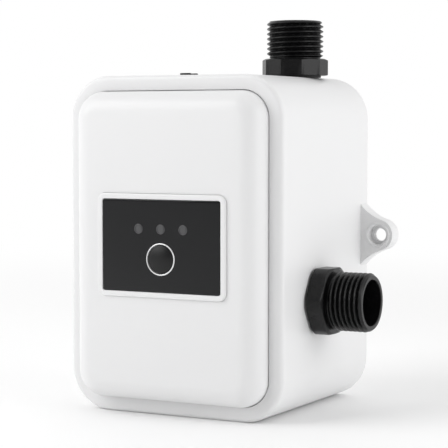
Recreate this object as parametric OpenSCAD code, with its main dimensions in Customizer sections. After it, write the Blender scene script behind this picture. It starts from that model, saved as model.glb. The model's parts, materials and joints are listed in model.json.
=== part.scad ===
// Shower pump: a white box that stands on its base or hangs by two ears.
// X points right, Y points back, Z points up. The origin is the middle of the flat base.
// The cold feed enters at the right side and the boosted water leaves at the top.

/* [Body] */
// Width of the housing, left to right
body_w = 86; // [82:0.5:96]
// Height of the housing
body_h = 121; // [118:0.5:136]
// Depth of the housing, from its flat front step to its back
body_d = 74; // [72:0.5:90]
// Radius of the four upright corners seen from the front
corner_r = 15.5; // [13:0.5:17]
// Radius of the soft edges at the front and back
edge_r = 1.5; // [0.6:0.1:2.2]
// Wall thickness of the housing
wall = 2.5; // [2:0.1:3]
// Width of the flat step around the raised cover
step_w = 5.6; // [5.2:0.1:6.4]

/* [Cover] */
// How far the cover stands out from the step
cover_rise = 8.5; // [8:0.1:10]
// Radius of the large soft edge of the cover
cover_round = 7.3; // [5:0.1:8]
// Wall thickness of the cover
cover_wall = 2.4; // [2:0.1:2.8]
// Open line between the cover and the step
cover_gap = 0.25; // [0.15:0.05:0.4]
// Width of the ledge that the seal lies on
ledge_w = 2.4; // [2:0.1:2.8]
// Depth from the step down to the ledge
ledge_drop = 3.5; // [3:0.1:4.5]
// Thickness of the ledge
ledge_t = 2.5; // [2:0.1:3]
// Thickness of the cover seal
seal_t = 0.8; // [0.6:0.1:1.2]

/* [Control panel] */
// Width of the white frame around the panel
bezel_w = 51.4; // [48:0.2:52]
// Height of the white frame around the panel
bezel_h = 36; // [34:0.2:38]
// Height of the middle of the panel above the base
panel_z = 61.4; // [58:0.1:63]
// Width of the rim of the frame
bezel_rim = 2; // [1.4:0.1:2.4]
// How far the frame stands out from the cover
bezel_rise = 0.9; // [0.7:0.1:1.2]
// Outer corner radius of the frame
bezel_r = 2.8; // [2.2:0.1:3.6]
// Depth of the pocket that the frame is set into
bezel_seat = 1.2; // [1:0.1:1.4]
// Thickness of the black plate
plate_t = 1.3; // [1:0.1:1.5]
// How far the plate lies below the front of the frame
plate_sunk = 0.2; // [0.1:0.05:0.4]
// Width of the ledge that carries the plate
plate_ledge = 1.3; // [1:0.1:1.8]

/* [Button and lights] */
// Height of the button above the base
button_z = 56.6; // [55:0.1:58]
// Radius of the button
button_r = 5; // [4.5:0.1:5.4]
// Radial width of the bright ring
ring_w = 0.55; // [0.4:0.05:0.8]
// Travel of the button
button_travel = 0.8; // [0.5:0.1:1]
// How far the button stands out from the plate at its rim
button_rise = 0.3; // [0.2:0.05:0.6]
// Extra height of the button in its middle
button_crown = 0.5; // [0.3:0.05:0.8]
// Height of the row of lights above the base
light_z = 67.1; // [66:0.1:68]
// Distance from one light to the next
light_pitch = 9; // [7:0.1:10]
// Radius of a light
light_r = 1.8; // [1.4:0.1:2]

/* [Water fittings] */
// Radius over the crests of the half inch pipe thread
thread_r = 10.4775; // [10.3:0.0005:10.6]
// Pitch of the thread
thread_pitch = 1.814; // [1.6:0.002:2.1]
// Depth of the thread
thread_depth = 1.162; // [0.9:0.002:1.3]
// Length of the threaded part
thread_l = 13.9; // [12:0.1:16]
// Radius of the water bore at the mouth
bore_r = 7.6; // [7:0.1:8]
// Thickness of the flange
flange_t = 6.1; // [5:0.1:7]
// Across the flats of the six sided side flange
flange_af = 23.4; // [22.8:0.1:24]
// Radius that the corners of the side flange are turned to
flange_turn = 12.6; // [12.2:0.1:13]
// Corner radius of the ten sided top flange
flange_top_r = 12.3; // [11.6:0.1:12.6]
// Thickness of the washer under a flange
washer_t = 0.8; // [0.6:0.1:1.2]
// Radius of the neck that passes through the housing
neck_r = 8.2; // [8:0.1:8.6]
// Thickness of the nut inside the housing
nut_t = 3.5; // [3:0.1:4]
// Across the flats of the nut inside the housing
nut_af = 19; // [18.6:0.1:20]
// Place of the side fitting, front to back
inlet_y = -8; // [-9:0.1:-7]
// Height of the side fitting above the base
inlet_z = 41; // [40:0.1:42]
// Distance from the right side of the housing to the middle of the top fitting
outlet_in = 20.5; // [20:0.1:23]
// Place of the top fitting, front to back
outlet_y = 15; // [14:0.1:16]

/* [Wall ears] */
// Place of the ear holes, from the middle of the body
ear_x = 50; // [49:0.1:54]
// Height of the ear holes above the base
ear_z = 62.3; // [55:0.1:68]
// Radius of the rounded tip of an ear
ear_r = 5.9; // [5.2:0.1:6.6]
// Half height of an ear where it leaves the side
ear_root = 11; // [10:0.1:13]
// Radius of the hollow curves between the side and the tip of an ear
ear_hollow = 18; // [14:0.5:24]
// Thickness of an ear
ear_t = 7.6; // [7:0.1:9]
// Radius of the screw hole
ear_hole_r = 2.4; // [2:0.1:2.6]
// Radius of the sunk seat for the screw head
ear_seat_r = 3.6; // [3.3:0.1:4.2]
// Depth of that seat
ear_seat_d = 2.5; // [2:0.1:3]
// Thickness of the web that the screw pulls on
ear_web = 1.9; // [1.6:0.1:2.4]

/* [Power socket] */
// Distance from the left side of the housing to the middle of the socket
socket_in = 19.3; // [17:0.1:23]
// Place of the socket, front to back
socket_y = 17; // [12:0.1:22]
// Radius of the collar that shows
collar_r = 3.65; // [3.5:0.05:3.8]
// Height of the collar above the housing
collar_h = 2.4; // [2:0.1:3]
// Radius of the hole for the plug
plug_r = 2.85; // [2.75:0.05:2.95]

/* [Pump] */
// Radius of the round chamber
chamber_r = 23; // [22:0.1:23.4]
// Width of the chamber along the shaft
chamber_l = 11; // [10:0.1:11.5]
// Radius of the impeller
impeller_r = 17.5; // [15:0.1:18]
// Radius of the fixed shaft
shaft_r = 2; // [1.6:0.05:2.4]
// Radial running clearance of bushes and axles
running_gap = 0.05; // [0.02:0.01:0.08]
// Radius of the magnet rotor
rotor_r = 9.5; // [9:0.1:9.8]
// Length of the stator core
core_l = 22; // [16:0.5:24]
// Outer radius of the stator core
core_r = 20; // [19:0.1:20.6]
// Radius of the inner water way of the pipe stubs
pipe_r = 4.2; // [3.8:0.1:4.4]
// Outer radius of the pipe stubs that plug together
stub_r = 6.2; // [6:0.1:6.3]

/* [Flow sensor] */
// Radius of the turbine
turbine_r = 7; // [6:0.1:7.2]
// Length of the turbine along its axle
turbine_l = 11; // [8:0.1:12]
// Radius of the turbine axle
axle_r = 0.75; // [0.6:0.05:0.9]

/* [Hidden] */
$fn = 96;

// overrun of every cut past the face it opens
over = 1;
// clearance of parts that only lie beside each other
free = 0.2;
// clearance of a screw in its hole
screw_gap = 0.2;
// steps of a rounded edge
edge_steps = 6;
round_steps = 14;

front_y = -body_d / 2;
back_y = body_d / 2;
face_y = front_y - cover_rise;
bezel_y = face_y - bezel_rise;
plate_y = bezel_y + plate_sunk;
plate_back = plate_y + plate_t;
inner_side = body_w / 2 - wall;
inner_top = body_h - wall;
inner_back = back_y - wall;
outlet_x = body_w / 2 - outlet_in;
socket_x = socket_in - body_w / 2;

cover_w = body_w - 2 * step_w;
cover_h = body_h - 2 * step_w;
cover_r = corner_r - step_w;
ledge_y = front_y + ledge_drop;
seal_y = ledge_y - seal_t;
frame_t = ledge_drop + ledge_t;

// cover screws: short screws at the bottom of deep wells that open at the back
screw_r = 1.5;
head_r = 2.75;
head_h = 2.2;
well_r = 3;
post_r = 4.2;
boss_r = 3.2;
boss_back = 1.2;
boss_y = front_y + frame_t + boss_back;
well_floor = 3;
cover_screw_l = 12;
post_side = cover_w / 2 - ledge_w - screw_r - 2 * screw_gap;
post_drop = 20;
post_top_z = body_h - post_drop;
post_reach = (cover_r - ledge_w - screw_r - screw_gap) * sqrt(0.5);
post_foot_x = cover_w / 2 - cover_r + post_reach;
post_foot_z = step_w + cover_r - post_reach;
POSTS = [[post_side, post_top_z], [-post_side, post_top_z],
         [post_foot_x, post_foot_z], [-post_foot_x, post_foot_z]];

// control board and what stands on it
board_side = 6.5;
board_w = cover_w - 2 * cover_wall - 2 * board_side;
board_h = 50;
board_t = 1.6;
board_in = 3;
board_y = front_y + board_in;
board_screw_side = 3.3;
board_screw_end = 3;
board_screw_x = board_w / 2 - board_screw_side;
board_screw_dz = board_h / 2 - board_screw_end;
board_boss_r = 2.6;
board_screw_r = 1.1;
board_screw_l = 7;
board_head_r = 2.2;
board_head_h = 1.5;
board_front = board_y - board_t;
switch_s = 6;
switch_t = 3.5;
plunger_r = 1.7;
plunger_l = 1.5;
plunger_gap = 0.06;
plunger_y = board_front - switch_t - plunger_l;
button_flange_r = 6.3;
button_flange_t = 0.8;
button_rest = 0.3;
button_flange_y = plate_back + button_rest;
stem_r = 1.5;
spring_wire = 0.25;
spring_coil_r = 5;
spring_turns = 5;
lens_flange_r = 2.3;
lens_flange_t = 0.6;
lens_pipe_r = 1.5;
light_t = 1.8;
lens_gap = 0.5;
plug_w = 8;
plug_h = 5;
plug_t = 6;
plug_step = 17;
plug_dz = 15;

// fittings
thread_turns = floor(thread_l / thread_pitch);
crest_w = thread_pitch / 6;
root_r = thread_r - thread_depth;
thread_z = washer_t + flange_t;
fitting_l = thread_z + thread_l;
mouth_chamfer = 1;
flange_chamfer = 0.6;
turn_top = 18.5;
hex_share = 1 / sqrt(3);
socket_r = stub_r + free;
socket_floor = -2.2;
lid_t = 2.5;
neck_l = outlet_in - chamber_l / 2 - lid_t - free;
washer_r = 9.6;
neck_hole_r = neck_r + free;
boss_drop = 1.5;
pad_r = 11.2;
boss_top_r = washer_r + free;
strainer_t = 1.4;
strainer_hole_r = 0.65;
strainer_pitch = 1.9;

// power socket
socket_flange_r = 5.2;
socket_flange_t = 1.2;
barrel_r = 4;
barrel_l = 8;
shell_r = 4.6;
shell_l = 8;
pin_r = 1.05;
pin_sunk = 1.6;
plug_depth = 9.5;
socket_nut_af = 10;
socket_nut_t = 2.2;
collar_cut_share = 0.5;
collar_cut_turn = 40;
socket_pad_r = 6.2;
socket_pad_h = 0.8;

// pump, along the inlet axis; its own zero is the middle of the chamber
pump_x = outlet_x;
case_wall = 2.2;
chamber_shift = outlet_y - inlet_y - chamber_r + pipe_r;
half_l = chamber_l / 2;
case_back = 2;
case_r = chamber_r + case_wall;
collar_l = 4;
lug_r = 3.4;
lug_out = 1.3;
lug_at = case_r + lug_out;
LUG_ANGLES = [-55, -125, 140, 85, -5];
case_screw_r = 1.25;
case_head_r = 2.5;
case_head_h = 2.2;
case_screw_l = 11;
stub_in_l = neck_l + socket_floor;
eye_r = 4.8;
hub_eye_r = 3.4;
arm_w = 1.4;
arm_t = 2.4;
seal_r = 0.68;
groove_w = 1.6;
groove_d = 1.2;
groove_seat = 1;
vanes = 6;
vane_t = 1.2;
vane_arc_r = 15;
disc_t = 1.5;
shroud_t = 1.2;
shroud_gap = 1.4;
shroud_eye_r = 6.5;
hub_r = 7.2;
bush_r = 4.6;
bush_l = 6;
can_gap = 0.6;
can_wall = 0.9;
can_r = rotor_r + can_gap;
can_out = can_r + can_wall;
can_flange_r = 18;
can_flange_t = 2;
end_gap = 2;
end_play = 0.3;
coil_over = 2.4;
coil_room = 1;
core_front = -half_l - case_back - can_flange_t - coil_over - coil_room;
core_back = core_front - core_l;
rotor_back = core_back - coil_room;
can_floor = rotor_back - end_gap;
can_base = 1;
can_back = can_floor - can_base;
shell_wall = 2;
motor_r = core_r + free;
shell_out = motor_r + shell_wall;
cap_room = 1.5;
shell_back = can_back - cap_room;
cap_t = 2.5;
cap_lip = 2;
teeth = 6;
tooth_w = 5;
tooth_gap = 0.8;
yoke_t = 3;
tooth_in = can_out + tooth_gap;
tooth_out = core_r - yoke_t;
tip_t = 1;
coil_t = 1.1;
lead_hole_at = (tooth_in + tooth_out) / 2;

// bracket that holds the motor to the back wall
strap_l = 12;
strap_t = 2.2;
strap_x = pump_x + core_back + core_l / 2;
arm_gap = 0.1;
foot_w = 22;
foot_h = 12;
foot_t = 2.5;
foot_z = 24;
foot_screw_x = 6.5;
grommet_r = 4.2;
grommet_in = 3;
grommet_lip = 1;
wall_boss_h = 1.5;
bracket_screw_l = 2 * grommet_lip + foot_t + wall_boss_h + wall / 2;
wall_boss_r = 3.8;

// flow sensor, between the chamber's stub and the top fitting
sensor_lift = 2.4;
sensor_foot = inlet_z + case_r + sensor_lift;
sensor_sleeve_l = 7;
sleeve_wall = 1.8;
sensor_sleeve_r = stub_r + free + sleeve_wall;
turbine_gap = 0.5;
sensor_in = turbine_r + turbine_gap;
sensor_r = sensor_in + sleeve_wall;
spider_t = 1.5;
axle_play = 0.4;
sensor_room = turbine_l + 2 * (spider_t + axle_play);
sensor_z0 = sensor_foot + sensor_sleeve_l + case_wall;
sensor_z1 = sensor_z0 + sensor_room;
spider_arm = 1.2;
spider_hub_r = 2;
turbine_hub_r = 2.2;
blade_t = 1;
blades = 6;
blade_tilt = 32;
sensor_top = body_h + socket_floor - free;
pickup_w = 9;
pickup_h = 8;
pickup_t = 2.4;

// leads
lead_r = 0.8;
lead_gap = 0.9;
lead_step = 2 * lead_r + lead_gap;
lead_sag = 16;
lead_out = inner_side + pump_x + shell_back - cap_t;
lead_hole_r = 3.4;
lead_steps = 16;

white = "#f4f5f6";
black = "#1b1c1d";

// points of an arc
function arc(cx, cy, r, a0, a1, n) =
    [for (i = [0:n]) [cx + r * cos(a0 + (a1 - a0) * i / n), cy + r * sin(a0 + (a1 - a0) * i / n)]];

// outline of a block's rim: reach r, thickness d, edge radii e0 at the foot and e1 at the top
function rim(r, d, e0, e1, n) = concat([[0, 0]],
    e0 > 0 ? arc(r - e0, e0, e0, -90, 0, n) : [[r, 0]],
    e1 > 0 ? arc(r - e1, d - e1, e1, 0, 90, n) : [[r, d]], [[0, d]]);

// a straight rim along X, reaching out along +Y
module rim_bar(l, reach, d, e0, e1, n) {
    translate([-l / 2, 0, 0])
        rotate([90, 0, 90])
            linear_extrude(l) polygon(rim(reach, d, e0, e1, n));
}

// a block with round corners r and soft edges, lying with its thickness along Z
module soft_block(w, h, r, d, e0, e1, n = edge_steps) {
    for (turn = [0:3])
        rotate(turn * 90) {
            side = turn % 2 == 0 ? [w, h] : [h, w];
            translate([side[0] / 2 - r, side[1] / 2 - r, 0])
                rotate_extrude(angle = 90) polygon(rim(r, d, e0, e1, n));
            rim_bar(side[0] - 2 * r, side[1] / 2, d, e0, e1, n);
        }
}

// a flat outline with round corners
module soft_square(w, h, r) {
    square([w - 2 * r, h], center = true);
    square([w, h - 2 * r], center = true);
    for (x = [-1, 1], y = [-1, 1])
        translate([x * (w / 2 - r), y * (h / 2 - r)]) circle(r);
}

// a plate or frame of that outline
module soft_plate(w, h, r, t) {
    linear_extrude(t) soft_square(w, h, r);
}

// a washer or sleeve
module tube(r_out, r_in, l) {
    difference() {
        cylinder(r = r_out, h = l);
        translate([0, 0, -over]) cylinder(r = r_in, h = l + 2 * over);
    }
}

// stands a shape up at depth y, its own Z pointing to the front
module facing(y, z = body_h / 2, x = 0) {
    translate([x, y, z]) rotate([90, 0, 0]) children();
}

// stands a shape up at depth y, its own Z pointing to the back
module backward(y, z = body_h / 2, x = 0) {
    translate([x, y, z]) rotate([-90, 0, 0]) children();
}

// on the side face, its own Z pointing out to the right
module at_inlet() {
    translate([body_w / 2, inlet_y, inlet_z]) rotate([0, 90, 0]) children();
}

// on the top face
module at_outlet() {
    translate([outlet_x, outlet_y, body_h]) children();
}

// on the pump axis, its own Z pointing right and its own X pointing down
module at_pump() {
    translate([pump_x, inlet_y, inlet_z]) rotate([0, 90, 0]) children();
}

// a screw along Z: its head stands on zero, its shank goes down
module screw(r, l, head, h) {
    translate([0, 0, -l]) cylinder(r = r, h = l);
    difference() {
        cylinder(r = head, h = h);
        translate([0, 0, h / 2]) cylinder(r = head / 2, h = h / 2 + over, $fn = 6);
    }
}

// a lead that leaves a along one way and reaches b along another
module lead(a, a_way, b, b_way, flat) {
    swept_tube([for (i = [0:lead_steps])
        let (t = i / lead_steps, u = 1 - t)
            u * u * u * a + 3 * u * u * t * (a + a_way) + 3 * u * t * t * (b + b_way) + t * t * t * b],
        lead_r, 8, flat, a_way, -b_way);
}

// outline of one ear, its root on the side wall
module ear_outline() {
    tip = [ear_x - body_w / 2, 0];
    root = [0, ear_root];
    span = norm(tip - root);
    way = (tip - root) / span;
    along = span / 2 - ear_r * (ear_hollow + ear_r / 2) / span;
    aside = sqrt((ear_hollow - along) * (ear_hollow + along));
    curve = root + along * way + aside * [-way[1], way[0]];
    touch = tip + (curve - tip) * ear_r / (ear_hollow + ear_r);
    difference() {
        union() {
            translate(tip) circle(ear_r);
            polygon([[-wall / 2, -ear_root], [0, -ear_root], [touch[0], -touch[1]], tip,
                     touch, [0, ear_root], [-wall / 2, ear_root]]);
        }
        for (s = [-1, 1]) translate([curve[0], s * curve[1]]) circle(ear_hollow);
    }
}

// one ear with its stepped screw hole, flush with the back
module ear() {
    web_z = ear_t - ear_seat_d;
    translate([body_w / 2, back_y, ear_z])
        rotate([90, 0, 0])
            difference() {
                linear_extrude(ear_t) ear_outline();
                translate([ear_x - body_w / 2, 0, 0]) {
                    translate([0, 0, -over]) cylinder(r = ear_hole_r, h = ear_t + 2 * over);
                    translate([0, 0, web_z]) cylinder(r = ear_seat_r, h = ear_t);
                    translate([0, 0, -over]) cylinder(r = ear_seat_r, h = web_z - ear_web + over);
                }
            }
}

// the hollow of the housing
module housing_room() {
    facing(inner_back) soft_block(body_w - 2 * wall, body_h - 2 * wall, corner_r - wall,
                                  body_d - wall - frame_t, edge_r, edge_r);
}

module rear_housing() {
    color(white) difference() {
        union() {
            difference() {
                facing(back_y) soft_block(body_w, body_h, corner_r, body_d, edge_r, edge_r);
                housing_room();
                facing(ledge_y)
                    soft_plate(cover_w + 2 * cover_gap, cover_h + 2 * cover_gap, cover_r + cover_gap,
                               ledge_drop + over);
                facing(ledge_y + ledge_t + over)
                    soft_plate(cover_w - 2 * ledge_w, cover_h - 2 * ledge_w, cover_r - ledge_w,
                               ledge_t + 2 * over);
            }
            for (s = [0, 1]) mirror([s, 0, 0]) ear();
            for (p = POSTS)
                facing(inner_back, p[1], p[0]) cylinder(r = post_r, h = inner_back - boss_y - free);
            translate([outlet_x, outlet_y, inner_top - boss_drop]) cylinder(r = pad_r, h = boss_drop + wall / 2);
            translate([outlet_x, outlet_y, inner_top]) cylinder(r = boss_top_r, h = wall);
            translate([socket_x, socket_y, inner_top - socket_pad_h])
                cylinder(r = socket_pad_r, h = socket_pad_h + wall / 2);
            for (x = [-1, 1], z = [-1, 1])
                facing(inner_back, inlet_z + z * foot_z, strap_x + x * foot_screw_x)
                    cylinder(r = wall_boss_r, h = wall_boss_h);
        }
        for (p = POSTS) {
            facing(back_y + over, p[1], p[0]) cylinder(r = well_r, h = back_y + over - boss_y - free - well_floor);
            facing(back_y, p[1], p[0]) cylinder(r = screw_r + screw_gap, h = back_y - boss_y + over);
        }
        translate([outlet_x, outlet_y, inner_top - boss_drop - over])
            cylinder(r = neck_hole_r, h = wall + boss_drop + 2 * over);
        translate([inner_side - over, inlet_y, inlet_z])
            rotate([0, 90, 0]) cylinder(r = neck_hole_r, h = wall + 2 * over);
        translate([socket_x, socket_y, inner_top - wall]) cylinder(r = barrel_r + free / 2, h = 2 * wall + over);
        for (x = [-1, 1], z = [-1, 1])
            facing(back_y - wall / 2, inlet_z + z * foot_z, strap_x + x * foot_screw_x)
                cylinder(r = screw_r, h = wall + wall_boss_h);
    }
}

module front_cover() {
    inner = cover_round - cover_wall;
    window_w = bezel_w - 2 * bezel_rim - 2 * plate_ledge;
    window_h = bezel_h - 2 * bezel_rim - 2 * plate_ledge;
    color(white) difference() {
        union() {
            difference() {
                facing(seal_y)
                    soft_block(cover_w, cover_h, cover_r, seal_y - face_y, 0, cover_round, round_steps);
                facing(seal_y)
                    soft_block(cover_w - 2 * cover_wall, cover_h - 2 * cover_wall, cover_r - cover_wall,
                               seal_y - face_y - cover_wall, 0, inner, round_steps);
            }
            intersection() {
                for (p = POSTS)
                    facing(boss_y, p[1], p[0]) cylinder(r = boss_r, h = boss_y - face_y - cover_wall / 2);
                facing(boss_y + over)
                    soft_block(cover_w - 2 * ledge_w - free, cover_h - 2 * ledge_w - free,
                               cover_r - ledge_w, boss_y + over - face_y - cover_wall / 2, 0, inner, round_steps);
            }
            for (x = [-1, 1], z = [-1, 1])
                facing(board_front, panel_z + z * board_screw_dz, x * board_screw_x)
                    cylinder(r = board_boss_r, h = board_front - face_y - bezel_seat);
        }
        facing(face_y + bezel_seat, panel_z)
            soft_plate(bezel_w + free, bezel_h + free, bezel_r + free / 2, bezel_seat + over);
        facing(face_y + cover_wall + over, panel_z)
            soft_plate(window_w, window_h, bezel_r - bezel_rim, cover_wall + 2 * over);
        for (p = POSTS)
            facing(boss_y + over, p[1], p[0]) cylinder(r = screw_r, h = cover_screw_l - well_floor + over);
        for (x = [-1, 1], z = [-1, 1])
            facing(board_front + over, panel_z + z * board_screw_dz, x * board_screw_x)
                cylinder(r = board_screw_r, h = board_screw_l - board_t + over);
    }
}

module cover_seal() {
    color("#3a3c3e") facing(ledge_y) difference() {
        soft_plate(cover_w, cover_h, cover_r, seal_t);
        translate([0, 0, -over])
            soft_plate(cover_w - 2 * (ledge_w - free), cover_h - 2 * (ledge_w - free),
                       cover_r - ledge_w + free, seal_t + 2 * over);
    }
}

module cover_screws() {
    color("silver")
        for (p = POSTS)
            backward(boss_y + free + well_floor, p[1], p[0]) screw(screw_r, cover_screw_l, head_r, head_h);
}

module bezel_frame() {
    in_w = bezel_w - 2 * bezel_rim;
    in_h = bezel_h - 2 * bezel_rim;
    in_r = bezel_r - bezel_rim;
    depth = bezel_seat + bezel_rise;
    color(white) facing(face_y + bezel_seat, panel_z) difference() {
        soft_block(bezel_w, bezel_h, bezel_r, depth, 0, bezel_rise / 2);
        translate([0, 0, depth - plate_sunk - plate_t]) soft_plate(in_w, in_h, in_r, depth);
        translate([0, 0, -over])
            soft_plate(in_w - 2 * plate_ledge, in_h - 2 * plate_ledge, in_r, depth + 2 * over);
    }
}

module control_plate() {
    w = bezel_w - 2 * bezel_rim - free;
    h = bezel_h - 2 * bezel_rim - free;
    color(black) difference() {
        facing(plate_back, panel_z) soft_plate(w, h, bezel_r - bezel_rim, plate_t);
        facing(plate_back + over, button_z) cylinder(r = button_r + free + ring_w, h = plate_t + 2 * over);
        for (i = [-1:1])
            facing(plate_back + over, light_z, i * light_pitch) cylinder(r = light_r, h = plate_t + 2 * over);
    }
}

module indicator_lenses() {
    pipe = board_front - light_t - lens_gap - plate_back;
    color("#6d7072") for (i = [-1:1]) {
        facing(plate_back, light_z, i * light_pitch) cylinder(r = light_r - running_gap, h = plate_t);
        backward(plate_back, light_z, i * light_pitch) cylinder(r = lens_flange_r, h = lens_flange_t);
        backward(plate_back, light_z, i * light_pitch) cylinder(r = lens_pipe_r, h = pipe);
    }
}

module button_ring() {
    color("white") facing(plate_back, button_z)
        tube(button_r + free + ring_w - running_gap, button_r + free, plate_t + plate_sunk);
}

module power_button() {
    rim_y = plate_y - button_rise;
    crown = (button_r * button_r + button_crown * button_crown) / (2 * button_crown);
    color(black) {
        backward(rim_y, button_z) cylinder(r = button_r, h = button_flange_y - rim_y);
        backward(button_flange_y, button_z) cylinder(r = button_flange_r, h = button_flange_t);
        backward(button_flange_y, button_z) cylinder(r = stem_r, h = plunger_y - button_flange_y);
        intersection() {
            facing(rim_y, button_z) translate([0, 0, button_crown - crown]) sphere(r = crown);
            facing(rim_y + free, button_z) cylinder(r = button_r, h = button_crown + 2 * free);
        }
    }
}

// the spring winds round the switch, from the button's flange to the board
module button_spring() {
    l = board_front - button_flange_y - button_flange_t;
    color("silver") backward(button_flange_y + button_flange_t, button_z)
        coil_tube(spring_coil_r, spring_wire, spring_wire, l - spring_wire, spring_turns, 16, 6);
}

// faces of a tube whose rings are listed one after another
function tube_faces(rings, sides) = concat(
    [for (i = [0:rings - 1], k = [0:sides - 1], t = [0, 1])
        let (a = i * sides + k, b = i * sides + (k + 1) % sides)
            t == 0 ? [a, b, a + sides] : [b, b + sides, a + sides]],
    [for (k = [1:sides - 2]) [0, k + 1, k]],
    [for (k = [1:sides - 2]) [rings * sides, rings * sides + k, rings * sides + k + 1]]);

// a round tube along a line of points, square to the ways first and last at its ends;
// flat is a direction that the line never takes
module swept_tube(points, r, sides, flat, first, last) {
    n = len(points) - 1;
    ways = [for (i = [0:n]) i == 0 ? first : (i == n ? last : points[i + 1] - points[i - 1])];
    polyhedron([for (i = [0:n], k = [0:sides - 1])
        let (side = cross(flat, ways[i]) / norm(cross(flat, ways[i])),
             up = cross(side, ways[i] / norm(ways[i])), a = 360 * k / sides)
                points[i] + r * (cos(a) * side + sin(a) * up)], tube_faces(n, sides));
}

// one unbroken wire that climbs from z0 to z1, level for half a turn at both ends
module coil_tube(r, wire, z0, z1, turns, steps, sides) {
    n = turns * steps;
    points = [for (i = [0:n])
        let (rise = min(max(i / steps - 0.5, 0), turns - 1) / (turns - 1))
            [r * cos(360 * i / steps), r * sin(360 * i / steps), z0 + (z1 - z0) * rise]];
    gap = min([for (i = [0:n - steps]) points[i + steps][2] - points[i][2] - 2 * wire]);
    echo("least gap between the turns of the button spring", gap);
    swept_tube(points, wire, sides, [0, 0, 1], [0, 1, 0], [0, 1, 0]);
}

module switch_plunger() {
    color("#222222") facing(board_front - switch_t + button_travel, button_z)
        cylinder(r = plunger_r, h = plunger_l + button_travel);
}

module tact_switch() {
    depth = 2 * button_travel + free;
    color("silver") facing(board_front, button_z) difference() {
        translate([-switch_s / 2, -switch_s / 2, 0]) cube([switch_s, switch_s, switch_t]);
        translate([0, 0, switch_t - depth]) cylinder(r = plunger_r + plunger_gap, h = depth + over);
    }
}

module control_board() {
    color("#1f6b45") difference() {
        facing(board_y, panel_z) soft_plate(board_w, board_h, board_t, board_t);
        for (x = [-1, 1], z = [-1, 1])
            facing(board_y + over, panel_z + z * board_screw_dz, x * board_screw_x)
                cylinder(r = board_screw_r + screw_gap, h = board_t + 2 * over);
    }
}

module board_lights() {
    color("#e8f2e0") for (i = [-1:1])
        facing(board_front, light_z, i * light_pitch)
            translate([-light_t, -light_t / 2, 0]) cube([2 * light_t, light_t, light_t]);
}

// three plugs on the back of the board: motor, power and sensor
function plug_at(i) = [(i - 1) * plug_step, board_y + plug_t, panel_z + plug_dz];

module board_plugs() {
    color("#efe9d6") for (i = [0:2])
        translate(plug_at(i) - [plug_w / 2, plug_t, plug_h / 2]) cube([plug_w, plug_t, plug_h]);
}

module board_screws() {
    color("silver") for (x = [-1, 1], z = [-1, 1])
        backward(board_y, panel_z + z * board_screw_dz, x * board_screw_x)
            screw(board_screw_r - running_gap, board_screw_l - running_gap, board_head_r, board_head_h);
}

// outline of the threaded part: one groove after another up to the mouth
function thread_outline() = concat([[bore_r - over, thread_z - over], [root_r, thread_z - over]],
    [for (i = [0:thread_turns - 1], k = [0:3])
        let (z = thread_z + i * thread_pitch, mid = z + thread_pitch / 2)
            [[root_r, z], [thread_r, mid - crest_w / 2], [thread_r, mid + crest_w / 2],
             [root_r, z + thread_pitch]][k]],
    [[root_r, fitting_l - (root_r - bore_r) / 2], [root_r - (root_r - bore_r) / 2, fitting_l],
     [bore_r - over, fitting_l]]);

// what both fittings share: neck, threaded spout and water way
module fitting_body() {
    difference() {
        union() {
            translate([0, 0, -neck_l]) cylinder(r = neck_r, h = neck_l + washer_t + flange_t / 2);
            children();
            intersection() {
                rotate_extrude() polygon(thread_outline());
                rotate_extrude() polygon([[0, 0], [2 * thread_r, 0], [2 * thread_r, fitting_l - 2 * thread_r],
                                          [thread_r, fitting_l - mouth_chamfer],
                                          [thread_r - mouth_chamfer, fitting_l], [0, fitting_l]]);
            }
        }
        translate([0, 0, socket_floor + strainer_t]) cylinder(r = bore_r, h = fitting_l + over - socket_floor);
        translate([0, 0, -neck_l - over]) cylinder(r = socket_r, h = neck_l + socket_floor + over);
        translate([0, 0, -neck_l]) cylinder(r = pipe_r + free, h = neck_l + over);
    }
}

// a flange whose front edge is turned to a shallow cone
module turned_flange(r) {
    intersection() {
        translate([0, 0, washer_t]) children();
        rotate_extrude()
            polygon([[0, washer_t], [r, washer_t], [r, thread_z - flange_chamfer],
                     [r - 2 * flange_chamfer, thread_z], [0, thread_z]]);
    }
}

module inlet_fitting() {
    color(black) at_inlet() fitting_body()
        turned_flange(flange_turn) rotate(90) cylinder(r = flange_af * hex_share, h = flange_t, $fn = 6);
}

module outlet_fitting() {
    color(black) at_outlet() fitting_body()
        turned_flange(flange_top_r + free) rotate(turn_top) cylinder(r = flange_top_r, h = flange_t, $fn = 10);
}

module flange_washer() {
    tube(washer_r, neck_r + free / 2, washer_t);
}
module inlet_washer() {
    color("#232425") at_inlet() flange_washer();
}
module outlet_washer() {
    color("#232425") at_outlet() flange_washer();
}

module neck_nut() {
    difference() {
        rotate(30) cylinder(r = nut_af * hex_share, h = nut_t, $fn = 6);
        translate([0, 0, -over]) cylinder(r = neck_r + running_gap, h = nut_t + 2 * over);
    }
}
module inlet_nut() {
    color("#2a2b2c") at_inlet() translate([0, 0, -wall - nut_t]) neck_nut();
}
module outlet_nut() {
    color("#2a2b2c") at_outlet() translate([0, 0, -wall - boss_drop - nut_t]) neck_nut();
}

// a perforated disc on the shoulder inside the inlet
module inlet_strainer() {
    reach = floor((bore_r - 2 * strainer_hole_r) / strainer_pitch);
    color("silver") at_inlet() translate([0, 0, socket_floor + strainer_t]) difference() {
        cylinder(r = bore_r - running_gap, h = strainer_t);
        for (i = [-reach:reach], j = [-reach:reach])
            if (norm([i, j]) * strainer_pitch < bore_r - 2 * strainer_hole_r)
                translate([i * strainer_pitch, j * strainer_pitch, -over])
                    cylinder(r = strainer_hole_r, h = strainer_t + 2 * over, $fn = 16);
    }
}

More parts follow.
